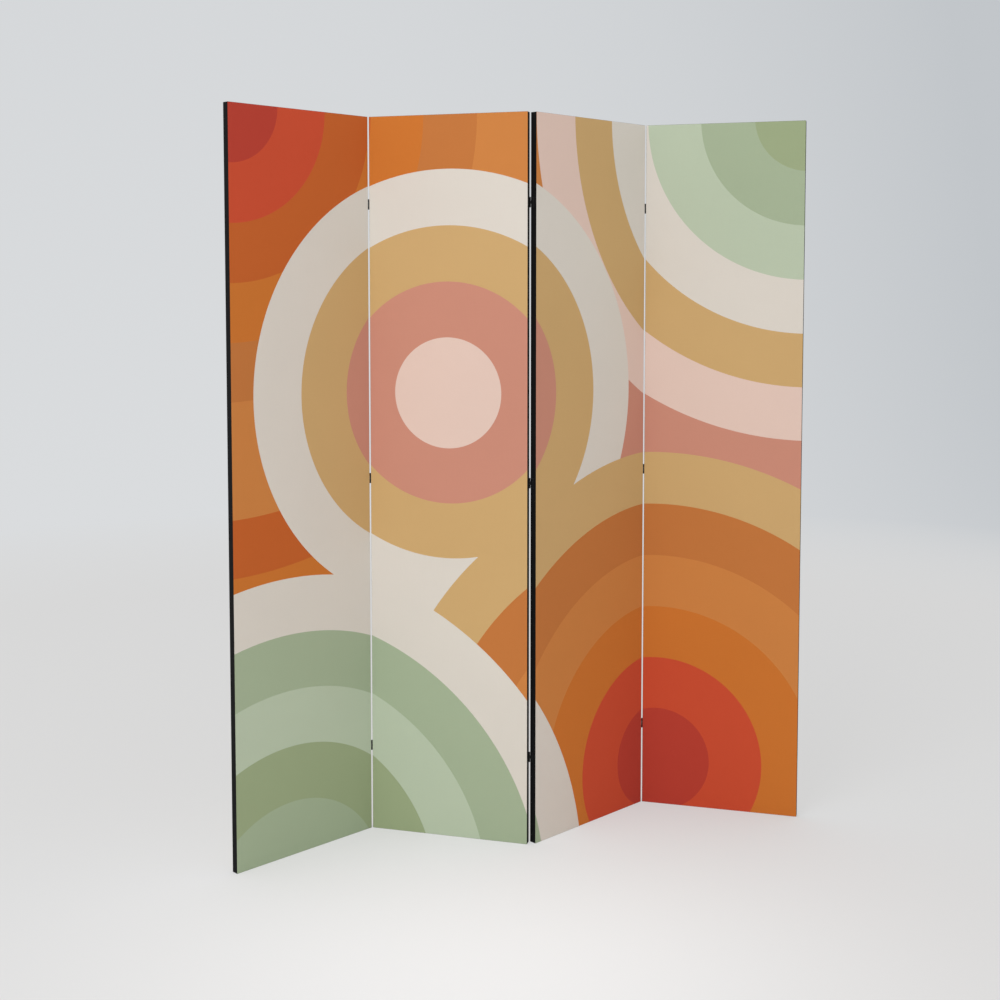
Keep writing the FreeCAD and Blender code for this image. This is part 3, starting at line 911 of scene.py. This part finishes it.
@dataclass
class Canvas:
    """The printed canvas of one panel, pulled over its frame and stapled behind."""

    sizes: ScreenSizes
    index: int
    flap: float = 25 * MM
    bend: float = 1.0 * MM
    corner_radius: float = 1.1 * MM
    least_radius: float = 0.15 * MM
    bend_steps: int = 4
    corner_steps: int = 4
    column_pitch: float = 12 * MM
    flap_shares: tuple[float, ...] = (0.1, 0.4, 0.7)
    holding: float = 0.5 * MM
    slant: float = 0.01
    wave: float = 0.56 * MM
    wave_seed: int = 41
    wave_count: int = 7
    waves_round: tuple[int, int] = (9, 60)
    wave_sizes: Pair = (0.15, 0.5)
    calm_reach: float = 30 * MM
    tuck_rise: float = 0.33 * MM
    tuck_sunk: float = 0.2 * MM
    tuck_reach: float = 13 * MM
    tuck_fold: float = 0.9 * MM
    tuck_shares: tuple[float, ...] = (0.07, 0.3, 0.55, 0.8, 0.985)
    tuck_bulge: tuple[Pair, ...] = (
        (-0.3, 0.15), (-0.25, 0.7), (0.1, 1.0), (0.3, 0.97), (0.65, 0.6), (1.0, 0.1),
    )

    def arc(self, depth: float, radius: float, start: float, past: float, reverse: bool) -> list[Ring]:
        """Takes the cloth a quarter turn round a bend, from that depth, angle and way past the edge."""
        turns = [step / self.bend_steps * QUARTER for step in range(self.bend_steps + 1)]
        return [Ring(self.bend - radius * math.sin(start + turned), depth - radius * math.cos(start + turned),
                     past + radius * turned, reverse, smooth=True) for turned in turns]

    def rings(self) -> list[Ring]:
        """Follows the cloth from its face round the edge, over the flap and back along the inside.

        Returns:
            Every ring, in order.
        """
        deep, bend, hold = self.sizes.depth, self.bend, self.holding
        inside, inner = deep - self.sizes.cloth, bend - self.sizes.cloth
        half_arc = bend * QUARTER / 2
        behind = half_arc + deep - 2 * bend
        flap_start = behind + 2 * half_arc
        flap_end = flap_start + self.flap - bend
        insets = [bend + share * (self.flap - bend) for share in self.flap_shares]
        rings = [Ring(bend + hold, 0, -half_arc - hold)]
        rings += self.arc(bend, bend, 0, -half_arc, False)
        rings += [Ring(0, bend + hold, half_arc + hold), Ring(0, deep - bend - hold, behind - hold)]
        rings += self.arc(deep - bend, bend, QUARTER, behind, False)
        rings += [Ring(inset, deep, flap_start + inset - bend) for inset in insets]
        rings.append(Ring(self.flap, deep, flap_end, wavy=True))
        rings.append(Ring(self.flap, inside, flap_end, True, wavy=True))
        rings += [Ring(inset, inside, behind + inset - bend, True) for inset in reversed(insets)]
        rings += reversed(self.arc(deep - bend, inner, QUARTER, behind, True))
        rings += reversed(self.arc(bend, inner, 0, 0, True))
        return [*rings, Ring(bend + hold, self.sizes.cloth, -hold, True)]

    def outline(self, inset: float) -> list[tuple[Vector, Vector]]:
        """Goes round the panel at an inset.

        Args:
            inset: How far in from the panel's edges.

        Returns:
            Points in x and z, each with its outward direction.
        """
        width, height = self.sizes.width, self.sizes.height
        radius, steps = max(self.corner_radius - inset, self.least_radius), self.corner_steps
        arcs = []
        for quarter, (x, z) in enumerate(((0, 0), (width, 0), (width, height), (0, height))):
            inward = Vector((-1 if x else 1, -1 if z else 1))
            centre = Vector((x, z)) + inward * (inset + radius)
            turns = [QUARTER * (2 + quarter + step / steps) for step in range(steps + 1)]
            outward = [Vector((math.cos(turn), math.sin(turn))) for turn in turns]
            arcs.append([(centre + direction * radius, direction) for direction in outward])
        points = []
        for arc, following in zip(arcs, arcs[1:] + arcs[:1]):
            (start, direction), end = arc[-1], following[0][0]
            side = width if abs(start.y - end.y) < abs(start.x - end.x) else height
            count = round(side / self.column_pitch)
            points += arc + [(start.lerp(end, step / count), direction) for step in range(1, count)]
        return points

    def waves(self, count: int) -> list[float]:
        """Works out how far the cut edge of the flap strays at each point round the panel.

        Args:
            count: How many points there are.

        Returns:
            The strays.
        """
        rng = random.Random(self.wave_seed + self.index)
        draws = [(rng.randint(*self.waves_round), rng.uniform(0, 4 * QUARTER), rng.uniform(*self.wave_sizes))
                 for _ in range(self.wave_count)]
        turns = [4 * QUARTER * place / count for place in range(count)]
        return [self.wave * sum(size * math.sin(beats * turn + start) for beats, start, size in draws)
                for turn in turns]

    def unfolded(self, spot: Vector, outward: Vector, ring: Ring) -> Pair:
        """Finds where a point of the cloth was when the cloth lay flat, over all four panels.

        Args:
            spot: The point's x and z in the panel.
            outward: The outward direction there.
            ring: The ring that it is on.

        Returns:
            The place on the flat cloth.
        """
        x, z = spot
        if ring.past > 0 or ring.inset < self.bend:
            past = max(ring.past, 0)
            if abs(outward.x) > self.slant:
                x = 0 if outward.x < 0 else self.sizes.width
            if abs(outward.y) > self.slant:
                z = 0 if outward.y < 0 else self.sizes.height
            x, z = x + outward.x * past, z + outward.y * past
        return x + self.index * self.sizes.width, z

    def calm(self, spot: Vector) -> float:
        """How free the cut edge is to stray there: 0 at a corner of the panel, 1 well away from it."""
        away = max(min(spot.x, self.sizes.width - spot.x), min(spot.y, self.sizes.height - spot.y))
        return min(1, max(0, away / self.calm_reach - 1))

    def build(self, material: Material) -> Mesh:
        """Builds the cloth as one closed sheet with its folded corners.

        Args:
            material: The canvas's material.

        Returns:
            The mesh, in the panel's frame.
        """
        cloth, rings, lines = ClothBuild(), self.rings(), []
        strays = self.waves(len(self.outline(0)))
        for ring in rings:
            line = []
            for (spot, outward), stray in zip(self.outline(ring.inset), strays):
                shift = stray * self.calm(spot) if ring.wavy else 0
                spot = spot + outward * shift
                flat = self.unfolded(spot, outward, ring)
                line.append(cloth.point((spot.x, ring.depth, spot.y), flat, ring.past + shift, ring.reverse))
            lines.append(line)
        cloth.wrap(lines, lambda number, here: rings[number].smooth)
        for left in (True, False):
            for low in (True, False):
                self.add_tuck(cloth, left, low)
        return cloth.finish(f"panel_{self.index + 1}_cloth", material)

    def add_tuck(self, cloth: ClothBuild, left: bool, low: bool) -> None:
        """Adds the folded edge of the cloth that lies across a back corner.

        Args:
            cloth: The cloth so far.
            left: Whether the corner is on the left.
            low: Whether it is at the foot.
        """
        deep, width, height = self.sizes.depth, self.sizes.width, self.sizes.height
        sunk = -self.tuck_sunk / self.tuck_rise
        lines = []
        for share in self.tuck_shares:
            reach = share * self.flap
            past, line = deep + reach, []
            for along, up in ((0, sunk), *self.tuck_bulge, (1, sunk)):
                climb = reach + along * (self.tuck_fold if along < 0 else self.tuck_reach)
                z = climb if low else height - climb
                flat = ((-past if left else width + past) + self.index * width, z)
                place = (reach if left else width - reach, deep + up * self.tuck_rise, z)
                line.append(cloth.point(place, flat, past, False))
            lines.append(line)
        cloth.wrap(lines, lambda number, here: 1 < here <= len(self.tuck_bulge))


# Staples, frayed threads and screws, by geometry nodes


class CopyTree(Group):
    """A geometry tree that sets copies of a shape along the lines or on the points of a carrier."""

    def __init__(self, name: str, inputs: dict) -> None:
        """Starts the tree with the inputs that every such tree has."""
        common = {"Geometry": "Geometry", "Material": "Material", "Seed": 0}
        super().__init__(name, Kind.GEOMETRY, {**common, **inputs}, {"Geometry": "Geometry"})

    def spots(self) -> Socket:
        """Places evenly spaced along each line of the carrier."""
        inputs = {"Curve": self.get("GeometryNodeMeshToCurve", {"Mesh": self.given["Geometry"]}),
                  "Length": self.given["Spacing"]}
        return self.get("GeometryNodeResampleCurve", inputs, mode="LENGTH")

    def sweep(self, path: Socket, section: Socket) -> Socket:
        """A closed bar with that section along a path."""
        inputs = {"Curve": path, "Profile Curve": section, "Fill Caps": True}
        return self.get("GeometryNodeCurveToMesh", inputs)

    def align(self, axis: str, vector: object, **more: object) -> Socket:
        """A rotation that points an axis along a vector, from another rotation if one is given."""
        settings = {"axis": axis, "pivot_axis": "X" if more else "AUTO"}
        return self.get("FunctionNodeAlignRotationToVector", {"Vector": vector, **more}, **settings)

    def along_line(self) -> Socket:
        """A rotation with X along the carrier's line and Z outward."""
        first = self.align("X", self.get("GeometryNodeInputTangent"))
        return self.align("Z", self.given["Outward"], Rotation=first)

    def draw(self, low: object, high: object) -> Socket:
        """A random number for each copy."""
        inputs = {2: low, 3: high, "Seed": self.given["Seed"]}
        return self.get("FunctionNodeRandomValue", inputs, 1, data_type="FLOAT")

    def swing(self, rotation: Socket, axis: Triple, limit: object) -> Socket:
        """Turns each copy about an axis of its own by a random angle.

        Args:
            rotation: How each copy is turned before.
            axis: The copy's own axis.
            limit: The largest angle either way.

        Returns:
            The rotation.
        """
        angle = self.draw(self.times(limit, -1), limit)
        turn = self.get("FunctionNodeAxisAngleToRotation", {"Axis": axis, "Angle": angle})
        return self.get("FunctionNodeRotateRotation", {0: rotation, 1: turn}, rotation_space="LOCAL")

    def finish(self, inputs: dict) -> NodeTree:
        """Ends the tree: a shape on each point, made real, with its material.

        Args:
            inputs: The points, the shape and how each copy is turned and sized.

        Returns:
            The finished node tree.
        """
        copies = self.get("GeometryNodeInstanceOnPoints", inputs)
        real = self.get("GeometryNodeRealizeInstances", {"Geometry": copies})
        dressed = {"Geometry": real, "Material": self.given["Material"]}
        self.feed(self.result, {"Geometry": self.get("GeometryNodeSetMaterial", dressed)})
        return self.tree


@dataclass(frozen=True)
class StapleRun:
    """Flat-wire staples in a row, their crowns along the line and a little askew."""

    spacing: float = 58 * MM
    crown: float = 10.5 * MM
    leg: float = 8 * MM
    wire_width: float = 1.0 * MM
    wire_thickness: float = 0.44 * MM
    bend: float = 0.7 * MM
    bend_steps: int = 2
    askew: float = 0.12
    wire_sides: int = 8
    corners: int = 4

    def build(self) -> NodeTree:
        """Builds the tree, whose copies stand on evenly spaced places along the carrier's lines.

        Returns:
            The tree.
        """
        tree = CopyTree("StapleRun", {
            "Spacing": self.spacing, "Crown": self.crown, "Leg": self.leg, "Width": self.wire_width,
            "Thickness": self.wire_thickness, "Bend": self.bend, "Askew": self.askew, "Outward": OUTWARD,
        })
        given = tree.given
        line = tree.get("GeometryNodeCurvePrimitiveLine")
        bar = tree.get("GeometryNodeResampleCurve", {"Curve": line, "Count": self.corners}, mode="COUNT")
        from_middle = tree.math("SUBTRACT", tree.get("GeometryNodeInputIndex"), (self.corners - 1) / 2)
        across = tree.times(tree.math("SIGN", from_middle), tree.times(given["Crown"], 0.5))
        is_tip = tree.math("GREATER_THAN", tree.math("ABSOLUTE", from_middle), 1)
        down = tree.times(is_tip, tree.times(given["Leg"], -1))
        corners = tree.get("ShaderNodeCombineXYZ", {0: across, 2: down})
        bent = tree.get("GeometryNodeSetPosition", {"Geometry": bar, "Position": corners})
        inputs = {"Curve": bent, "Radius": given["Bend"], "Count": self.bend_steps}
        path = tree.get("GeometryNodeFilletCurve", inputs, mode="POLY")
        path = tree.get("GeometryNodeSetCurveNormal", {"Curve": path}, mode="MINIMUM_TWIST")
        size = tree.get("ShaderNodeCombineXYZ", {0: given["Thickness"], 1: given["Width"], 2: 1})
        unit = tree.get("GeometryNodeCurvePrimitiveCircle", {"Resolution": self.wire_sides, "Radius": 0.5})
        section = tree.get("GeometryNodeTransform", {"Geometry": unit, "Scale": size})
        turned = tree.swing(tree.along_line(), (0, 0, 1), given["Askew"])
        shape = tree.sweep(path, section)
        return tree.finish({"Points": tree.spots(), "Instance": shape, "Rotation": turned})


@dataclass(frozen=True)
class FrayedEdge:
    """Short threads that curl off a cut edge, lying flat, of many lengths."""

    spacing: float = 6 * MM
    length: float = 3.5 * MM
    thread: float = 0.13 * MM
    steps: int = 4
    sides: int = 4
    reach: float = 0.9
    bow: float = 0.16
    hook: float = -0.10
    shortest: float = 0.35
    longest: float = 1.25

    def build(self) -> NodeTree:
        """Builds the tree, whose threads point to the left of the carrier's lines.

        Returns:
            The tree.
        """
        tree = CopyTree("FrayedEdge", {
            "Spacing": self.spacing, "Length": self.length, "Thread": self.thread, "Outward": OUTWARD,
        })
        ends = {"Resolution": self.steps, "Start": (0, 0, 0)}
        for label, parts in (("Middle", (self.bow, 0.5)), ("End", (self.hook, 1.0))):
            along = {place: tree.times(tree.given["Length"], part) for place, part in enumerate(parts)}
            ends[label] = tree.get("ShaderNodeCombineXYZ", along)
        curl = tree.get("GeometryNodeCurveQuadraticBezier", ends)
        section = {"Resolution": self.sides, "Radius": tree.given["Thread"]}
        thread = tree.sweep(curl, tree.get("GeometryNodeCurvePrimitiveCircle", section))
        turned = tree.swing(tree.along_line(), (0, 0, 1), self.reach)
        size = tree.draw(self.shortest, self.longest)
        return tree.finish({"Points": tree.spots(), "Instance": thread, "Rotation": turned, "Scale": size})


@dataclass(frozen=True)
class ScrewRun:
    """Screws on points, each driven along the point's own direction and turned at random."""

    def build(self) -> NodeTree:
        """Builds the tree, which copies the object that it is given.

        Returns:
            The tree.
        """
        tree = CopyTree("HingeScrews", {"Screw": "Object"})
        shape = tree.get("GeometryNodeObjectInfo", {"Object": tree.given["Screw"]}, "Geometry")
        points = tree.get("GeometryNodeMeshToPoints", {"Mesh": tree.given["Geometry"]})
        drive = tree.get("GeometryNodeInputNamedAttribute", {"Name": DRIVE}, data_type="FLOAT_VECTOR")
        turned = tree.swing(tree.align("X", drive), (1, 0, 0), QUARTER / 2)
        return tree.finish({"Points": points, "Instance": shape, "Rotation": turned})


# Hinge hardware


@dataclass(frozen=True)
class Screw:
    """A countersunk wood screw with a cross recess, along X from the middle of its head."""

    head: float = 1.7 * MM
    neck: float = 1.0 * MM
    taper: float = 0.8
    taper_from: float = 0.9
    tip: float = 0.4 * MM
    sink: float = 0.7 * MM
    shank: float = 10 * MM
    slot_reach: float = 1.05 * MM
    slot_half: float = 0.24 * MM
    slot_depth: float = 0.55 * MM
    slot_floor: float = 0.6
    sides: int = 24

    def cross(self, share: float) -> list[Vector]:
        """Draws the outline of the cross recess.

        Args:
            share: How far it is drawn in, 1 being its full size.

        Returns:
            Its corners.
        """
        reach, half = self.slot_reach * share, self.slot_half * share
        arm = [Vector(corner) for corner in ((reach, -half), (reach, half), (half, half))]
        return [Matrix.Rotation(quarter * QUARTER, 2) @ corner for quarter in range(4) for corner in arm]

    def build(self) -> Mesh:
        """Builds the screw as a closed mesh.

        Returns:
            The mesh.
        """
        build = bmesh.new()
        profile = [
            (self.head, 0),
            (self.neck, self.sink),
            (self.neck * self.taper, self.sink + self.shank * self.taper_from),
            (self.tip, self.sink + self.shank),
        ]
        outside = turn_lines(build, profile, self.sides, lambda y, z, depth: (depth, y, z))
        recess, floor = ([build.verts.new((depth, *corner)) for corner in self.cross(share)]
                         for depth, share in ((0, 1), (self.slot_depth, self.slot_floor)))
        rims = [(line[here - 1], line[here]) for line in (outside[0], recess) for here in range(len(line))]
        bmesh.ops.triangle_fill(build, edges=[build.edges.new(rim) for rim in rims], use_beauty=True)
        loft(build, outside)
        loft(build, (recess, floor))
        cap(build, outside[-1], floor)
        return close_mesh(build, "screw")


@dataclass(frozen=True)
class Pin:
    """A hinge pin with eased ends, upright."""

    radius: float
    length: float
    ease: float = 0.22 * MM
    end_shares: tuple[Pair, ...] = ((0.55, 0.0), (0.85, 0.3), (1.0, 1.0))
    sides: int = 20

    def build_into(self, build: Build, middle: Vector) -> None:
        """Adds the pin to a build.

        Args:
            build: The build.
            middle: The pin's middle.
        """
        half = self.length / 2
        profile = [(self.radius * share, half - down * self.ease) for share, down in self.end_shares]
        profile += [(radius, -height) for radius, height in reversed(profile)]
        lines = turn_lines(build, profile, self.sides, lambda *spot: middle + Vector(spot))
        loft(build, lines, lambda number, here: True)
        cap(build, lines[0], lines[-1])


@dataclass(frozen=True)
class FoldHinges:
    """The three butt hinges of a fold."""

    sizes: ScreenSizes
    fold: Fold

    def lacquer_leaves(self, black: Material) -> None:
        """Gives the leaves their black finish.

        Args:
            black: The lacquered steel.
        """
        for name in ("bottom", "middle", "top"):
            for hand in ("left", "right"):
                dress_node(f"{self.fold.name}_{name}_hinge_{hand}_leaf", black)
        log.info("%s: six leaves lacquered", self.fold.name)

    def fit_pins(self, black: Material) -> None:
        """Fits a round pin in each hinge.

        Args:
            black: The lacquered steel.
        """
        build = bmesh.new()
        pin = Pin(self.sizes.tight_bore, self.sizes.hinge_height)
        for height in self.sizes.hinge_middles():
            pin.build_into(build, Vector((*self.fold.pin.xy, height)))
        name, solids = f"{self.fold.name}_pins", [f"{self.fold.name}_hinge_pins"]
        add_piece(name, close_mesh(build, name, black), PLAIN, self.fold.left, solids)


# Panels


@dataclass(frozen=True)
class BackRun:
    """Small things along the four sides of a panel's back.

    They run inset from the sides, end clear of the corners and lie proud of the cloth.
    """

    name: str
    inset: float
    clear: float
    proud: float
    seed: int
    slot: str | None = None


STAPLES = BackRun("staples", inset=14.5 * MM, clear=34 * MM, proud=0.1 * MM, seed=11)
FRAYED_THREADS = BackRun(
    "frayed_threads", inset=24.8 * MM, clear=40 * MM, proud=-0.2 * MM, seed=23, slot="printed_canvas"
)


@dataclass
class Panel:
    """One panel: its pine frame, its canvas, its staples and the screws of its hinges."""

    sizes: ScreenSizes
    index: int
    folds: list[Fold]
    grain_seed: int = 7
    screw_seed: int = 5
    body: str = field(init=False)
    place: Matrix = field(init=False)

    def __post_init__(self) -> None:
        """Works out the panel's body and place."""
        self.body = f"panel_{self.index + 1}"
        self.place = panel_place(self.sizes, self.index, self.folds)

    def hinged_sides(self) -> list[tuple[Side, Fold]]:
        """The panel's hinged sides with their folds."""
        sides = [(Side.LEFT, fold) for fold in self.folds if fold.right == self.body]
        return sides + [(Side.RIGHT, fold) for fold in self.folds if fold.left == self.body]

    def hang_canvas(self, cloth: Material) -> None:
        """Stretches the canvas over the frame.

        Args:
            cloth: The canvas's material.
        """
        canvas = Canvas(self.sizes, self.index)
        mesh, solids = canvas.build(cloth), [f"{self.body}_canvas", f"{self.body}_canvas_turnover"]
        piece = add_piece(f"{self.body}_cloth", mesh, self.place, self.body, solids)

    def dress_frame(self, pine: Pine) -> None:
        """Gives each bar of the frame its own run of pine grain.

        Args:
            pine: The wood.
        """
        rng = random.Random(self.grain_seed * (self.index + 1))
        to_panel = self.place.inverted()
        for bar in Bar:
            node = f"{self.body}_{bar.node}"
            low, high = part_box(node)
            centre = to_panel @ ((low + high) / 2)
            along = Matrix.Rotation(QUARTER, 4, "Y") if bar.upright else PLAIN
            to_bar = along @ Matrix.Translation(-centre) @ to_panel
            dress_node(node, pine.material(f"pine_{node}", to_bar, rng))
        log.info("%s: frame in pine", self.body)

    def back_lines(self, what: BackRun) -> Mesh:
        """Draws one line along each side of the panel's back, the middle of the panel on its left.

        Args:
            what: What runs along the lines.

        Returns:
            A carrier of four lines.
        """
        width, height, inset, clear = self.sizes.width, self.sizes.height, what.inset, what.clear
        ends = [
            ((width - inset, height - clear), (width - inset, clear)),
            ((inset, clear), (inset, height - clear)),
            ((width - clear, inset), (clear, inset)),
            ((clear, height - inset), (width - clear, height - inset)),
        ]
        points = [(x, self.sizes.depth + what.proud, z) for line in ends for x, z in line]
        mesh = bpy.data.meshes.new("back_lines")
        mesh.from_pydata(points, [(2 * line, 2 * line + 1) for line in range(len(ends))], [])
        return mesh

    def line_back(self, what: BackRun, run: NodeTree, material: Material) -> None:
        """Adds what runs along the panel's back, made by a geometry tree in its material."""
        mesh = grow(self.back_lines(what), run, {"Material": material, "Seed": what.seed + self.index})
        add_piece(f"{self.body}_{what.name}", mesh, self.place, self.body)

    def screw_seats(self) -> Mesh:
        """Marks where each screw of the panel's hinge leaves sits and which way it is driven.

        Returns:
            A carrier of points, each with the direction of its screw.
        """
        sizes, seats, drives = self.sizes, [], []
        reach = sizes.hinge_height / 2 - sizes.screw_inset
        for side, fold in self.hinged_sides():
            edge = 0 if side is Side.LEFT else sizes.width
            inward = -sizes.screw_depth if fold.name == "middle_fold" else sizes.screw_depth
            for middle in sizes.hinge_middles():
                for up in (-reach, reach):
                    depth = sizes.pin_depth(fold.name) + inward
                    seats.append((edge - side.value * sizes.plate, depth, middle + up))
                    drives += [side.value, 0, 0]
        mesh = bpy.data.meshes.new("screw_seats")
        mesh.from_pydata(seats, [], [])
        mesh.attributes.new(DRIVE, "FLOAT_VECTOR", "POINT").data.foreach_set("vector", drives)
        return mesh

    def drive_screws(self, run: NodeTree, screw: bpy.types.Object, steel: Material) -> None:
        """Drives the screws of the panel's hinge leaves.

        Args:
            run: The tree that sets a screw on each point.
            screw: The screw to copy.
            steel: The screws' material.
        """
        values = {"Material": steel, "Screw": screw, "Seed": self.screw_seed + self.index}
        mesh, solids = grow(self.screw_seats(), run, values), [f"{self.body}_hinge_screws"]
        add_piece(f"{self.body}_screws", mesh, self.place, self.body, solids)


# Studio


@dataclass(frozen=True)
class Studio:
    """The plain pale room, its soft light and the camera."""

    camera_at: Triple = (-0.8938, -3.2951, 1.3504)
    camera_turn: float = math.radians(-14.351)
    camera_tilt: float = math.radians(-3.724)
    lens: float = 50
    shift: float = -0.12
    wall_lit_end: Color = ink(218, 220, 222)
    wall_shaded_end: Color = ink(194, 198, 202)
    wall_half: float = 3.4
    wall_fall: float = 3.0
    wall_rise: float = 0.06
    floor_far: Color = ink(220, 220, 220)
    floor_painted_light: Color = ink(244, 244, 244)
    floor_glow: float = 0.55
    painted_pool_at: Triple = (-0.22, -0.66, 0)
    painted_pool_reach: float = 0.75
    daylight: float = 0.86
    key_power: float = 78
    key_size: float = 3.0
    key_at: Triple = (-3.4, -3.2, 2.6)
    key_aim: Triple = (0, 0, 0.8)
    floor_fade: float = 3.1
    floor_reach: float = 5.2
    wall_reach: float = 6.6
    wall_height: float = 7.0
    wall_steps: int = 8
    under_floor: float = 1 * MM
    roof_gap: float = 10 * MM
    sides: int = 96

    def set_camera(self) -> None:
        """Places the camera as the photograph was taken."""
        data = bpy.data.cameras.new("camera")
        data.lens, data.shift_y = self.lens, self.shift
        camera = bpy.data.objects.new("camera", data)
        camera.location = self.camera_at
        camera.rotation_euler = Euler((QUARTER + self.camera_tilt, 0, self.camera_turn))
        bpy.context.scene.collection.objects.link(camera)
        bpy.context.scene.camera = camera

    def set_light(self) -> None:
        """Sets an even world and one large soft lamp at the front left."""
        world = bpy.data.worlds.new("studio")
        bpy.context.scene.world = world
        world.use_nodes = True
        background = world.node_tree.nodes["Background"]
        background.inputs["Color"].default_value = (1, 1, 1, 1)
        background.inputs["Strength"].default_value = self.daylight
        data = bpy.data.lights.new("key", "AREA")
        data.energy, data.size = self.key_power, self.key_size
        key = bpy.data.objects.new("key", data)
        key.location = self.key_at
        key.rotation_euler = (Vector(self.key_aim) - key.location).to_track_quat("-Z", "Y").to_euler()
        bpy.context.scene.collection.objects.link(key)

    def wall_tone(self, tree: Tree, place: Socket) -> Socket:
        """Shades the wall from left to right as in the photograph.

        Args:
            tree: The material's tree.
            place: The place in the room.

        Returns:
            The wall's colour there.
        """
        right = (math.cos(self.camera_turn), math.sin(self.camera_turn), 0)
        across = tree.vector("DOT_PRODUCT", place, right, out="Value")
        fall = tree.math("POWER", tree.spread(across, -self.wall_half, self.wall_half), self.wall_fall)
        height = tree.get("ShaderNodeSeparateXYZ", {0: place}, 2)
        # Painted shade: the wall darkens towards the right and higher up.
        share = tree.scaled(height, self.wall_rise, fall, clamp=True)
        return tree.blend(share, self.wall_lit_end, self.wall_shaded_end)

    def build_floor(self) -> None:
        """Builds the floor, which keeps the screen's shadow and runs into the wall."""
        tree = Coat("floor", Roughness=0.9, Specular_IOR_Level=0.0)
        place = tree.place()
        # Painted light: a soft pool of brighter floor in front of the screen, which the glow below carries
        # too.
        near = tree.math("DIVIDE", tree.vector("DISTANCE", place, self.painted_pool_at, out="Value"), self.painted_pool_reach)
        painted_light_pool = tree.math("EXPONENT", tree.times(tree.math("POWER", near, 2), -1))
        tone = tree.blend(painted_light_pool, self.floor_far, self.floor_painted_light)
        tree.feed(tree.shader, {"Base Color": tone})
        far = tree.spread(tree.vector("LENGTH", place, out="Value"), self.floor_fade, self.floor_reach)
        glow = tree.get("ShaderNodeEmission", {"Color": tree.blend(far, tone, self.wall_tone(tree, place))})
        # Only what is seen straight on, mirrored or through clear material glows
        rays = tree.add("ShaderNodeLightPath").outputs
        seen = tree.math("MAXIMUM", rays["Is Camera Ray"], rays["Is Glossy Ray"])
        seen = tree.math("MAXIMUM", seen, rays["Is Transmission Ray"])
        share = tree.times(tree.spread(far, 0, 1, self.floor_glow, 1), seen)
        tree.show(tree.get("ShaderNodeMixShader", {0: share, 1: tree.shader.outputs[0], 2: glow}))
        build = bmesh.new()
        bmesh.ops.create_circle(build, cap_ends=True, segments=self.sides, radius=self.floor_reach)
        place_mesh("floor", close_mesh(build, "floor", tree.material))

    def build_wall(self) -> None:
        """Builds the round backdrop, which is seen but gives and stops no light."""
        tree = Coat("wall")
        tree.tree.nodes.remove(tree.shader)
        tree.show(tree.get("ShaderNodeEmission", {"Color": self.wall_tone(tree, tree.place())}))
        curve, start = self.wall_reach - self.floor_reach, self.floor_reach
        turns = [step / self.wall_steps * QUARTER for step in range(self.wall_steps + 1)]
        profile = [(start + curve * math.sin(turn), curve * (1 - math.cos(turn)) - self.under_floor)
                   for turn in turns]
        profile += [(self.wall_reach, self.wall_height), (self.roof_gap, self.wall_height)]
        build = bmesh.new()
        loft(build, turn_lines(build, profile, self.sides, lambda *spot: spot))
        wall = place_mesh("wall", close_mesh(build, "wall", tree.material))
        wall.visible_diffuse = wall.visible_shadow = False

    def build(self) -> None:
        """Builds the whole studio."""
        bpy.context.scene.view_settings.view_transform = "Standard"
        self.set_camera()
        self.set_light()
        self.build_floor()
        self.build_wall()
        log.info("studio ready")


def main() -> None:
    """Builds the screen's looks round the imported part, piece by piece."""
    logging.basicConfig(level=logging.INFO, format="%(name)s: %(message)s")
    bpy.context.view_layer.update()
    Studio().build()
    for effect in (Weave(), PineGrain(), Scuffs(), PrintDesign()):
        effect.build()
    cloth, thread = PrintedCanvas().material(), PrintedCanvas().thread_material()
    black, black_screw, steel = (metal.material() for metal in (BLACK_HINGE, BLACK_SCREW, STAPLE_STEEL))
    staples, frayed, screws = (run.build() for run in (StapleRun(), FrayedEdge(), ScrewRun()))
    screw = place_mesh("screw_pattern", Screw().build())
    sizes, folds = ScreenSizes(), read_folds()
    for index in range(len(folds) + 1):
        panel = Panel(sizes, index, folds)
        panel.hang_canvas(cloth)
        panel.dress_frame(Pine())
        panel.line_back(STAPLES, staples, steel)
        panel.line_back(FRAYED_THREADS, frayed, thread)
        panel.drive_screws(screws, screw, black_screw)
    bpy.data.objects.remove(screw)
    for fold in folds:
        hinges = FoldHinges(sizes, fold)
        hinges.lacquer_leaves(black)
        hinges.fit_pins(black)


if __name__ == "__main__":
    main()
